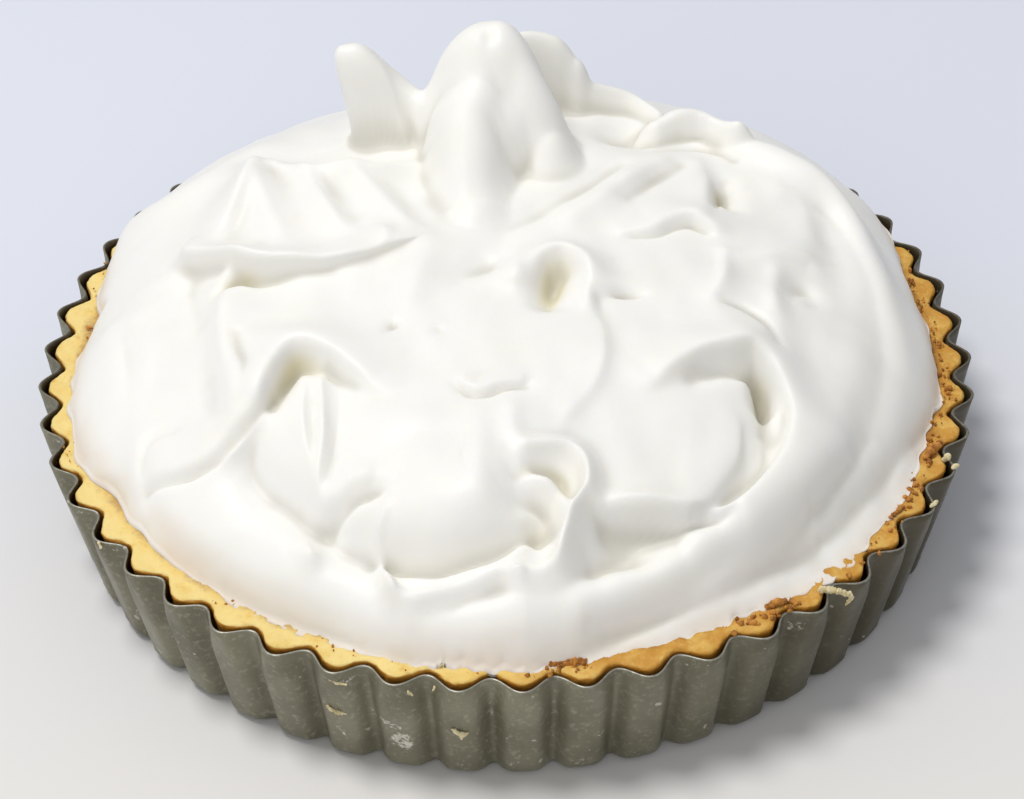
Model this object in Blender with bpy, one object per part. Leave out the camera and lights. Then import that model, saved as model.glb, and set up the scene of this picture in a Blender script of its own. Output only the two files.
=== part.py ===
"""Lemon meringue pie standing in its deep fluted tart tin.

Three solids: the pressed sheet tin, the pastry body that fills it, and the
spooned meringue that is piled on top.  Sizes are in millimetres and MM turns
them into metres when a mesh is made.  The origin is on the table under the
middle of the tin, +Z is up, and the front of the pie faces -Y.
"""
import math

import bmesh
import bpy
import numpy as np

MM = 0.001
PRESSED_SHARP_ANGLE = math.radians(40.0)
SOFT_SHARP_ANGLE = math.radians(80.0)

# Tin: one sheet, pressed into a flat base and a fluted wall that leans outwards.
TIN_HEIGHT = 34.5
RIM_RADIUS = 115.0
BASE_RADIUS = 108.2
CORNER_HEIGHT = 4.0
SHEET = 0.8
FLUTES = 49
TIN_COLUMNS = 6
PASTRY_COLUMNS = 4
FIRST_FLUTE_ANGLE = math.radians(183.2)
RIM_FLUTE_DEPTH = 4.4
BASE_FLUTE_DEPTH = 3.6
FOOT_FLUTE_DEPTH = 2.4
GROOVE_SHARPNESS = 1.2
CORNER_INSET = 1.4
CORNER_SHARE = 0.3
INSIDE_STEP = 0.3

# Pastry: shrunk away from the tin in baking, its top about level with the rim.
PASTRY_FLOOR_GAP = 0.4
PASTRY_LOW = 5.5
PASTRY_LOW_SHRINKAGE = 0.9
PASTRY_FOOT_INSET = 6.0
PASTRY_SHRINKAGE = 1.9
PASTRY_FLUTE_DEPTH = 3.1
PASTRY_FLUTE_SOFTENING = 0.4
PASTRY_TOP = 34.2
PASTRY_FRONT_LIFT = 0.8
PASTRY_ROUNDING = 1.4
PASTRY_BED_RADIUS = 107.2

# Meringue: a low dome with a steep edge, raised into peaks and spooned swirls.
MERINGUE_BOTTOM = 34.7
EDGE_THICKNESS = 0.8
UNDERCUT = 0.99
DOME_HEIGHT = 37.8
DOME_FULLNESS = 3.1
DOME_SHOULDER = 0.72
GRID_CELLS = 42
CURVE_STEPS = 10
FALL = 30.0
STROKE_FALL = 1.4
SAMPLE_REACH = 2.4

# The uneven outline of the meringue: (angle in degrees, radius).
OUTLINE = (
    (0, 104.0), (14, 102.5), (24, 106.4), (42, 105.0), (80, 104.4), (100, 103.4), (140, 104.8),
    (165, 104.4), (171.5, 100.6), (180, 104.2), (199, 106.2), (208, 102.8), (236, 104.4),
    (269, 106.4), (293, 104.6), (312, 106.4), (341, 103.6), (350, 104.6),
)

# Mounds: (x, y, rise over the dome, half width in x, half width in y, steepness, blend).
PEAKS = (
    # the main peak and its wide foot
    (1.0, 48.0, 34.0, 18.0, 15.0, 2.2, 4.0),
    (1.0, 38.0, 16.0, 22.0, 13.0, 2.6, 7.0),
)

# Ridges that stand up from the dome: (points as x, y and rise, half width, steepness, blend).
RIDGES = (
    # the lobe down the main peak's right side
    (((3, 47, 29), (7, 42, 26), (10, 37, 19), (12, 32, 9)), 12.0, 2.0, 8.0),
    # the nose that runs from the main peak towards the front
    (((-7, 37, 21), (-8, 32, 20), (-8, 26, 17), (-8, 19, 10), (-7, 12, 3)), 14.0, 2.2, 6.0),
    # the horn on the left and its saddle
    (((-12, 46, 13), (-18, 47, 12), (-24, 49, 16), (-30, 50, 23), (-36, 50, 27)), 11.5, 1.9, 4.0),
    # the flaps behind the main peak
    (((2, 62, 22), (8, 64, 22), (15, 64, 20), (20, 63, 14), (30, 63, 7), (40, 59, 3)), 10.5, 1.9, 4.0),
    # the pillow to its right
    (((39, 48, 5), (45, 51, 8), (52, 51, 8), (59, 45, 6)), 11.0, 2.0, 3.0),
)

# Soft strokes of the spoon: (points as x, y and height, half width).
# A height over zero piles the meringue up and one under zero scoops it out.
STROKES = (
    # the broad outer band, from the left round the front to the right
    (((-82, -56, 1), (-75, -69, 3), (-59, -84, 3), (-33, -98, 3), (-2, -102, 3), (19, -99, 3),
      (39, -91, 4), (55, -80, 4), (68, -65, 3), (78, -46, 2), (83, -27, 1)), 8.0),
    # the round bulge at the front, its lower edge and the hollow under it
    (((-21, -64, 2), (-17, -75, 3), (-10, -79, 3), (-3, -76, 2)), 12.0),
    (((-31, -80, 2), (-24, -84, 4), (-13, -85, 5), (0, -84, 4)), 7.0),
    (((-29, -91, -2), (-16, -94, -4), (-8, -94, -4), (8, -89, -2)), 7.0),
    # the hooked swirl on the left and its hollow
    (((-60, -52, 3), (-57, -45, 5), (-52, -34, 6), (-46, -31, 5), (-39, -35, 4), (-32, -43, 2)), 7.5),
    (((-54, -50, -2), (-50, -45, -5), (-43, -46, -3)), 7.0),
    # the loop at the front and its hollow
    (((2, -97, 3), (10, -95, 4), (15, -88, 5), (19, -79, 5), (17, -69, 4), (9, -65, 3)), 6.5),
    (((3, -79, -2), (7, -78, -4), (6, -84, -3)), 6.5),
    # the pocket in the middle, its cap and the crescent below it
    (((4, -12, 2), (8, -3, 4), (15, -1, 4), (22, -7, 4), (24, -18, 3)), 6.5),
    (((10, -22, -3), (12, -14, -5)), 6.5),
    (((22, -27, 1), (22, -44, 2), (14, -60, 1)), 7.0),
    # the lip of the big swirl on the right and the eye inside it
    (((33, -47, 1), (44, -37, 4), (52, -34, 5), (61, -35, 5), (68, -47, 5), (69, -58, 4),
      (62, -70, 4), (53, -80, 4), (40, -84, 3), (24, -84, 2)), 7.5),
    (((46, -50, -2), (53, -49, -5), (56, -54, -5), (56, -62, -2)), 7.5),
    # the crest round the right side and the groove inside it
    (((73, -71, 1), (88, -47, 2), (93, -25, 3), (93, -6, 4), (90, 10, 5),
      (82, 29, 7), (71, 38, 7)), 8.5),
    (((84, -42, -2), (88, -15, -2), (84, 12, -2)), 6.0),
    # bumps on the right
    (((58, -4, 1), (68, 0, 3), (76, -1, 1)), 6.0),
    (((29, 5, 1), (40, 8, 3), (50, 8, 3)), 6.0),
    # the long roll on the left and the hollow under it
    (((-76, 9, 4), (-66, 3, 6), (-52, -3, 5), (-38, -3, 4), (-23, 1, 1)), 7.0),
    (((-68, -15, -2), (-60, -14, -4), (-46, -14, -2)), 7.0),
    # the small peak on the left, its sill and its ridge
    (((-62, 37, 5), (-60, 26, 6), (-57, 14, 5)), 7.5),
    (((-56, 35, 4), (-39, 28, 5), (-23, 30, 3)), 6.0),
    (((-42, 27, 2), (-34, 13, 4), (-24, 4, 2)), 6.0),
    # the left flank and the high back behind it
    (((-80, 6, -1), (-82, -13, -2), (-80, -29, -2), (-76, -41, -1)), 9.0),
    (((-98, 30, 1), (-90, 46, 3), (-80, 54, 3), (-65, 53, 3)), 9.0),
)


def clear_scene():
    """Take every object out of the scene."""
    for item in list(bpy.data.objects):
        bpy.data.objects.remove(item, do_unlink=True)


def make_material(name, color, roughness, metallic=0.0):
    """A plain Principled material for one piece."""
    material = bpy.data.materials.new(name)
    material.use_nodes = True
    shader = material.node_tree.nodes["Principled BSDF"]
    shader.inputs["Base Color"].default_value = (*color, 1.0)
    shader.inputs["Roughness"].default_value = roughness
    shader.inputs["Metallic"].default_value = metallic
    return material


def finish_piece(name, mesh, material, sharp_angle):
    """Turn the faces outwards and make the object."""
    bmesh.ops.recalc_face_normals(mesh, faces=mesh.faces)
    data = bpy.data.meshes.new(name)
    mesh.to_mesh(data)
    mesh.free()
    data.materials.append(material)
    data.shade_smooth()
    data.set_sharp_from_angle(angle=sharp_angle)
    body = bpy.data.objects.new(name, data)
    bpy.context.collection.objects.link(body)
    return body


def ring_solid(name, rings, material):
    """Join rings of points, from one flat end to the other, into a closed body."""
    mesh = bmesh.new()
    loops = []
    for ring in rings:
        loops.append([mesh.verts.new((x * MM, y * MM, z * MM)) for x, y, z in ring])
    count = len(loops[0])
    for lower, upper in zip(loops, loops[1:]):
        for i in range(count):
            j = (i + 1) % count
            mesh.faces.new((lower[i], lower[j], upper[j], upper[i]))
    mesh.faces.new(reversed(loops[0]))
    mesh.faces.new(loops[-1])
    return finish_piece(name, mesh, material, PRESSED_SHARP_ANGLE)


def flute_ring(columns_per_flute, crest_radius, depth, height):
    """One turn of a fluted wall: broad outer lobes with a groove between each two."""
    points = []
    columns = FLUTES * columns_per_flute
    for i in range(columns):
        phase = 2.0 * math.pi * i / columns_per_flute
        groove = (0.5 - 0.5 * math.cos(phase)) ** GROOVE_SHARPNESS
        radius = crest_radius - depth * groove
        angle = FIRST_FLUTE_ANGLE + 2.0 * math.pi * i / columns
        lift = height(angle) if callable(height) else height
        points.append((radius * math.cos(angle), radius * math.sin(angle), lift))
    return points


def wall_radius(height):
    """Outer crest radius of the tin's straight wall at a height."""
    share = (height - CORNER_HEIGHT) / (TIN_HEIGHT - CORNER_HEIGHT)
    return BASE_RADIUS + (RIM_RADIUS - BASE_RADIUS) * share


def wall_depth(height):
    """Depth of the flutes at a height."""
    share = (height - CORNER_HEIGHT) / (TIN_HEIGHT - CORNER_HEIGHT)
    return BASE_FLUTE_DEPTH + (RIM_FLUTE_DEPTH - BASE_FLUTE_DEPTH) * share


def build_tin():
    """The tin: up the outside from the flat underside, over the rim, down the inside."""
    corner_radius = BASE_RADIUS - CORNER_INSET
    foot_radius = BASE_RADIUS - CORNER_HEIGHT
    rings = [
        (foot_radius, FOOT_FLUTE_DEPTH, 0.0),
        (corner_radius, 0.5 * (FOOT_FLUTE_DEPTH + BASE_FLUTE_DEPTH), CORNER_SHARE * CORNER_HEIGHT),
        (BASE_RADIUS, BASE_FLUTE_DEPTH, CORNER_HEIGHT),
        (RIM_RADIUS, RIM_FLUTE_DEPTH, TIN_HEIGHT),
        (RIM_RADIUS - SHEET, RIM_FLUTE_DEPTH, TIN_HEIGHT),
        (BASE_RADIUS - SHEET, BASE_FLUTE_DEPTH, CORNER_HEIGHT + INSIDE_STEP),
        (foot_radius - INSIDE_STEP, FOOT_FLUTE_DEPTH, SHEET),
    ]
    metal = make_material("tin_non_stick_coat", (0.115, 0.115, 0.09), 0.42, 0.35)
    return ring_solid("tart_tin", [flute_ring(TIN_COLUMNS, *ring) for ring in rings], metal)


def pastry_lift(angle):
    """Height of the pastry's crown, which stands highest at the front of the pie."""
    front = max(0.0, -math.sin(angle)) ** 2
    return PASTRY_TOP + PASTRY_FRONT_LIFT * front


def build_pastry():
    """The pastry body: a fluted side, a rounded crown and a level bed for the meringue."""
    bottom = SHEET + PASTRY_FLOOR_GAP
    low_radius = wall_radius(PASTRY_LOW) - SHEET - PASTRY_LOW_SHRINKAGE
    top = PASTRY_TOP - PASTRY_ROUNDING
    top_radius = wall_radius(top) - SHEET - PASTRY_SHRINKAGE
    low_depth = wall_depth(PASTRY_LOW) - PASTRY_FLUTE_SOFTENING

    def under_crown(angle):
        return pastry_lift(angle) - PASTRY_ROUNDING

    rings = [
        (BASE_RADIUS - PASTRY_FOOT_INSET, FOOT_FLUTE_DEPTH, bottom),
        (low_radius, low_depth, PASTRY_LOW),
        (top_radius, PASTRY_FLUTE_DEPTH, under_crown),
        (top_radius - PASTRY_ROUNDING, PASTRY_FLUTE_DEPTH - PASTRY_FLUTE_SOFTENING, pastry_lift),
        (PASTRY_BED_RADIUS, 0.0, PASTRY_TOP),
    ]
    crust = make_material("baked_pastry", (0.80, 0.50, 0.15), 0.75)
    return ring_solid("pastry_crust", [flute_ring(PASTRY_COLUMNS, *ring) for ring in rings], crust)


def smooth_path(points):
    """A Catmull-Rom curve through the points, as an array of samples."""
    knots = np.array(points, dtype=float)
    first = 2.0 * knots[0] - knots[1]
    last = 2.0 * knots[-1] - knots[-2]
    knots = np.vstack([first, knots, last])
    samples = []
    for a, b, c, d in zip(knots, knots[1:], knots[2:], knots[3:]):
        for step in range(CURVE_STEPS):
            t = step / CURVE_STEPS
            linear = (c - a) * t
            square = (2.0 * a - 5.0 * b + 4.0 * c - d) * t ** 2
            cube = (3.0 * b - a - 3.0 * c + d) * t ** 3
            samples.append(0.5 * (2.0 * b + linear + square + cube))
    samples.append(knots[-2])
    return np.array(samples)


def blend_up(low, high, width):
    """The higher of two surfaces, with the crease between them rounded."""
    share = np.clip(0.5 + 0.5 * (low - high) / width, 0.0, 1.0)
    return high + (low - high) * share + width * share * (1.0 - share)


def outline_radius(angle):
    """Radius of the meringue's uneven edge at an angle."""
    turns, radii = zip(*OUTLINE)
    return np.interp(np.degrees(angle), turns, radii, period=360.0)


def dome_height(x, y):
    """Height of the plain dome over the meringue's bottom."""
    share = np.hypot(x, y) / outline_radius(np.arctan2(y, x))
    return DOME_HEIGHT * (1.0 - np.clip(share, 0.0, 1.0) ** DOME_FULLNESS) ** DOME_SHOULDER


def gap_and_rise(points, x, y):
    """Distance of each place from a curve, and the curve's own rise at the nearest sample."""
    path = smooth_path(points)
    gap = np.hypot(x[:, None] - path[:, 0], y[:, None] - path[:, 1])
    return gap.min(axis=1), path[gap.argmin(axis=1), 2]


def meringue_height(x, y):
    """Height of the spooned surface: the dome, its peaks, its ridges and its strokes."""
    dome = dome_height(x, y)
    surface = dome.copy()
    for cx, cy, rise, half_x, half_y, steepness, blend in PEAKS:
        reach = np.hypot((x - cx) / half_x, (y - cy) / half_y)
        surface = blend_up(surface, dome + rise - FALL * reach ** steepness, blend)
    for points, half_width, steepness, blend in RIDGES:
        gap, rise = gap_and_rise(points, x, y)
        fall = FALL * (gap / half_width) ** steepness
        surface = blend_up(surface, dome + rise - fall, blend)
    for points, half_width in STROKES:
        gap, rise = gap_and_rise(points, x, y)
        surface = surface + rise * np.exp(-STROKE_FALL * (gap / half_width) ** 2)
    return np.maximum(surface, 0.0)


def disc_point(x, y):
    """Turn a place on a square from -1 to 1 into one on a round disc of radius 1."""
    reach = max(abs(x), abs(y))
    if reach == 0.0:
        return 0.0, 0.0
    if abs(x) >= abs(y):
        angle = 0.25 * math.pi * y / x
        if x < 0.0:
            angle += math.pi
    else:
        angle = 0.5 * math.pi - 0.25 * math.pi * x / y
        if y < 0.0:
            angle += math.pi
    return reach * math.cos(angle), reach * math.sin(angle)


def soft_height(x, y):
    """The spooned surface, averaged over a small cross so that no facet is a spike."""
    total = 2.0 * meringue_height(x, y)
    for step_x, step_y in ((1, 0), (-1, 0), (0, 1), (0, -1)):
        total += meringue_height(x + step_x * SAMPLE_REACH, y + step_y * SAMPLE_REACH)
    return total / 6.0


def build_meringue():
    """The meringue: a round grid lifted to the spooned surface, closed by a flat underside."""
    mesh = bmesh.new()
    bmesh.ops.create_grid(mesh, x_segments=GRID_CELLS, y_segments=GRID_CELLS, size=1.0)
    flat = np.array([disc_point(vert.co.x, vert.co.y) for vert in mesh.verts])
    edge = outline_radius(np.arctan2(flat[:, 1], flat[:, 0]))
    flat = flat * edge[:, None]
    lift = np.maximum(soft_height(flat[:, 0], flat[:, 1]), EDGE_THICKNESS)
    for vert, (x, y), z in zip(mesh.verts, flat, lift):
        if vert.is_boundary:
            z = EDGE_THICKNESS
        vert.co = (x * MM, y * MM, (MERINGUE_BOTTOM + z) * MM)
    rim = [item for item in mesh.edges if item.is_boundary]
    skirt = bmesh.ops.extrude_edge_only(mesh, edges=rim)["geom"]
    for vert in [item for item in skirt if isinstance(item, bmesh.types.BMVert)]:
        vert.co.x *= UNDERCUT
        vert.co.y *= UNDERCUT
        vert.co.z = MERINGUE_BOTTOM * MM
    bmesh.ops.contextual_create(mesh, geom=[item for item in mesh.edges if item.is_boundary])
    white = make_material("soft_meringue", (0.93, 0.91, 0.86), 0.5)
    return finish_piece("meringue", mesh, white, SOFT_SHARP_ANGLE)


def main():
    """Build the pie."""
    clear_scene()
    build_tin()
    build_pastry()
    build_meringue()


main()
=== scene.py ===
"""Looks of a lemon meringue pie in its fluted tart tin.

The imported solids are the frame.  Each one is replaced here by a finished piece
of the same size: the pressed tin, the baked pastry and the spooned meringue.
Crumbs, flecks of dough and flour lie on them where the baker left them.

Sizes are in millimetres and MM turns them into metres.  The origin is on the
table under the middle of the tin, +Z is up, and the front faces -Y.
"""

import logging
import math
from dataclasses import dataclass, field
from enum import Enum

import bpy
import numpy as np
from mathutils import Matrix, Vector

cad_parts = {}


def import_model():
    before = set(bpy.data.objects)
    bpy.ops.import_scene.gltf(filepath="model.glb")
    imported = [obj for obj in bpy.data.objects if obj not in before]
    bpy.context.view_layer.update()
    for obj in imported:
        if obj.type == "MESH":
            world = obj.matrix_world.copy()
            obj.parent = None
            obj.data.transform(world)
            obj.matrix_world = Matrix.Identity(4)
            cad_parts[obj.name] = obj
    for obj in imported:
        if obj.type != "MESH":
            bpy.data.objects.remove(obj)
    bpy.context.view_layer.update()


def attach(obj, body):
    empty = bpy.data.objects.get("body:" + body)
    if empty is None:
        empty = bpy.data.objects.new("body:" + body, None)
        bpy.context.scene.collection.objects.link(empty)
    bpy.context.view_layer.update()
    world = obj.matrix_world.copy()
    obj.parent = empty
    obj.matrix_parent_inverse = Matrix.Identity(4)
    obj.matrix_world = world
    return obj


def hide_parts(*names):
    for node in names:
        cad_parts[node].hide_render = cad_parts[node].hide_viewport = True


MM = 0.001
LOG = logging.getLogger("pie")


# ------------------------------------------------------------------ node helpers


class Graph:
    """A small builder for a material's or a geometry tree's nodes."""

    def __init__(self, tree: bpy.types.NodeTree) -> None:
        """Keep the tree that is being built."""
        self.tree = tree

    def add(self, kind: str, inputs: dict | None = None, **settings: object) -> bpy.types.Node:
        """Add one node.

        Args:
            kind: The node's type name.
            inputs: Values or output sockets for its inputs, by name or number.
            settings: Properties of the node itself.

        Returns:
            The new node.
        """
        node = self.tree.nodes.new(kind)
        for name, value in settings.items():
            setattr(node, name, value)
        for key, value in (inputs or {}).items():
            self.feed(node.inputs[key], value)
        return node

    def feed(self, socket: bpy.types.NodeSocket, value: object) -> None:
        """Link an output socket to an input, or set the input's own value."""
        if isinstance(value, bpy.types.NodeSocket):
            self.tree.links.new(value, socket)
        else:
            socket.default_value = value

    def math(self, operation: str, *values: object, clamp: bool = False) -> bpy.types.NodeSocket:
        """One Math node, and its result."""
        node = self.add("ShaderNodeMath", dict(enumerate(values)), operation=operation)
        node.use_clamp = clamp
        return node.outputs[0]

    def vector(self, operation: str, *values: object) -> bpy.types.NodeSocket:
        """One Vector Math node, and its vector result."""
        node = self.add("ShaderNodeVectorMath", dict(enumerate(values)), operation=operation)
        return node.outputs[0]

    def ramp(self, value: object, low: float, high: float, start: float = 0.0,
             end: float = 1.0, smooth: bool = True) -> bpy.types.NodeSocket:
        """Map a value from low..high onto start..end, eased at both ends if smooth."""
        kind = "SMOOTHSTEP" if smooth else "LINEAR"
        node = self.add("ShaderNodeMapRange", {0: value, 1: low, 2: high, 3: start, 4: end},
                        interpolation_type=kind)
        return node.outputs[0]

    def noise(self, vector: bpy.types.NodeSocket, scale: float, detail: float = 4.0,
              roughness: float = 0.55, distortion: float = 0.0) -> bpy.types.NodeSocket:
        """Noise with its middle at 0.5."""
        node = self.add("ShaderNodeTexNoise", {"Vector": vector, "Scale": scale, "Detail": detail,
                        "Roughness": roughness, "Distortion": distortion})
        return node.outputs[0]

    def mix(self, share: object, first: object, second: object,
            blend: str = "MIX") -> bpy.types.NodeSocket:
        """Mix two colours."""
        node = self.add("ShaderNodeMix", {0: share, 6: first, 7: second}, data_type="RGBA",
                        blend_type=blend)
        return node.outputs[2]


def rgba(red: float, green: float, blue: float) -> tuple[float, float, float, float]:
    """A linear colour from 0..255 values as they look on a screen."""
    linear = [c / 255.0 for c in (red, green, blue)]
    linear = [c / 12.92 if c <= 0.04045 else ((c + 0.055) / 1.055) ** 2.4 for c in linear]
    return (*linear, 1.0)


def new_material(name: str) -> tuple[bpy.types.Material, Graph, bpy.types.Node]:
    """An empty material with its graph and its Principled shader."""
    material = bpy.data.materials.new(name)
    material.use_nodes = True
    return material, Graph(material.node_tree), material.node_tree.nodes["Principled BSDF"]


def place_piece(piece: bpy.types.Object, slot: str, *replaced: str) -> None:
    """Hand a finished piece to the frame: attach it under the root body and hide the nodes it stands for."""
    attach(piece, "root")
    if replaced:
        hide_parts(*replaced)
    faces = len(piece.data.polygons)
    LOG.info("%s: %d faces", piece.name, faces)


def run_tree(host: bpy.types.Object, tree: bpy.types.NodeTree, values: dict,
             name: str) -> bpy.types.Object:
    """Run a geometry tree once and keep its result as a plain mesh object.

    Args:
        host: The object whose geometry the tree reads; it is removed afterwards.
        tree: The geometry tree.
        values: The tree's named inputs.
        name: The new object's name.

    Returns:
        The new object, at the origin.
    """
    modifier = host.modifiers.new("tree", "NODES")
    modifier.node_group = tree
    sockets = {item.name: item.identifier for item in tree.interface.items_tree
               if item.item_type == "SOCKET" and item.in_out == "INPUT"}
    for label, value in values.items():
        modifier[sockets[label]] = value
    graph = bpy.context.evaluated_depsgraph_get()
    data = bpy.data.meshes.new_from_object(host.evaluated_get(graph), depsgraph=graph)
    data.name = name
    piece = bpy.data.objects.new(name, data)
    bpy.context.collection.objects.link(piece)
    host.modifiers.remove(modifier)
    bpy.data.objects.remove(host)
    return piece


def mesh_piece(name: str, points: np.ndarray, faces: np.ndarray,
               finish: bpy.types.Material) -> bpy.types.Object:
    """Make a smooth-shaded object from points in millimetres and rows of corners.

    Args:
        name: The object's name.
        points: One row for each point.
        faces: One row of point numbers for each face, all of one length.
        finish: The object's material.

    Returns:
        The new object, at the origin.
    """
    data = bpy.data.meshes.new(name)
    data.from_pydata((points * MM).tolist(), [], faces.tolist())
    data.materials.append(finish)
    data.shade_smooth()
    piece = bpy.data.objects.new(name, data)
    bpy.context.collection.objects.link(piece)
    return piece


def point_host(name: str, points: list, edges: list | None = None) -> bpy.types.Object:
    """An object of bare points in millimetres, for a geometry tree to read."""
    data = bpy.data.meshes.new(name)
    data.from_pydata([[c * MM for c in point] for point in points], edges or [], [])
    host = bpy.data.objects.new(name, data)
    bpy.context.collection.objects.link(host)
    return host


def polar(angle: float, radius: float, height: float) -> tuple[float, float, float]:
    """A point from its angle in degrees, its radius and its height in millimetres."""
    turn = math.radians(angle)
    return radius * math.cos(turn), radius * math.sin(turn), height


# ---------------------------------------------------------------- meringue form


class Work(Enum):
    """What one stroke of the spoon does to the meringue."""

    RAISE = "pulls it up to a height over the plain dome"
    PILE = "adds to what is there"
    CARVE = "takes from what is there"


@dataclass(frozen=True)
class Mound:
    """A round heap or hollow: its middle, its rise and its reach, in millimetres."""

    work: Work
    x: float
    y: float
    rise: float
    reach_x: float
    reach_y: float
    turn: float = 0.0
    power: float = 2.0
    blend: float = 4.0
    lean: tuple[float, float] = (0.0, 0.0)
    tint: float = 0.0


@dataclass(frozen=True)
class Fold:
    """A ridge or furrow along a path of (x, y, rise) points, in millimetres.

    left and right are its reach on either side of the path.  A short reach makes a lip, and a long one a slope.  lean
    moves the crest to the left, and tint is how much yellow shade is painted into it.
    """

    work: Work
    path: tuple[tuple[float, float, float], ...]
    left: float
    right: float
    power: float = 1.5
    blend: float = 3.0
    lean: float = 0.0
    tint: float = 0.0


def blend_up(low: np.ndarray, high: np.ndarray, width: float) -> np.ndarray:
    """The higher of two surfaces, with the crease between them rounded."""
    share = np.clip(0.5 + 0.5 * (low - high) / width, 0.0, 1.0)
    return high + (low - high) * share + width * share * (1.0 - share)


def smooth_path(points: tuple[tuple[float, float, float], ...], steps: int = 12) -> np.ndarray:
    """A Catmull-Rom curve through the points.

    Args:
        points: The knots, each as x, y and rise.
        steps: Samples between two knots.

    Returns:
        The samples, one row each.
    """
    knots = np.array(points, dtype=float)
    knots = np.vstack([2.0 * knots[0] - knots[1], knots, 2.0 * knots[-1] - knots[-2]])
    t = np.linspace(0.0, 1.0, steps, endpoint=False)[:, None]
    rows = []
    for a, b, c, d in zip(knots, knots[1:], knots[2:], knots[3:]):
        square = 2.0 * a - 5.0 * b + 4.0 * c - d
        cube = 3.0 * b - a - 3.0 * c + d
        rows.append(0.5 * (2.0 * b + (c - a) * t + square * t**2 + cube * t**3))
    rows.append(knots[-2][None])
    return np.vstack(rows)


def along_path(path: np.ndarray, x: np.ndarray, y: np.ndarray) -> tuple[np.ndarray, ...]:
    """The nearest stretch of a path for each point.

    Args:
        path: The path's samples.
        x: The points' first coordinate.
        y: The points' second coordinate.

    Returns:
        Distance, side (1 left, -1 right, between them round an end), rise there,
        and the left normal's x and y.
    """
    start, step = path[:-1], np.diff(path, axis=0)
    square = step[:, 0] ** 2 + step[:, 1] ** 2 + 1e-12
    off_x = x[:, None] - start[:, 0]
    off_y = y[:, None] - start[:, 1]
    share = np.clip((off_x * step[:, 0] + off_y * step[:, 1]) / square, 0.0, 1.0)
    off_x = off_x - share * step[:, 0]
    off_y = off_y - share * step[:, 1]
    nearest = (off_x**2 + off_y**2).argmin(axis=1)
    row = np.arange(len(x))
    off_x, off_y, share = off_x[row, nearest], off_y[row, nearest], share[row, nearest]
    run = step[nearest]
    length = np.sqrt(square[nearest])
    distance = np.hypot(off_x, off_y)
    side = (run[:, 0] * off_y - run[:, 1] * off_x) / (length * np.maximum(distance, 1e-6))
    rise = start[nearest, 2] + share * run[:, 2]
    return distance, np.clip(side, -1.0, 1.0), rise, -run[:, 1] / length, run[:, 0] / length


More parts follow.
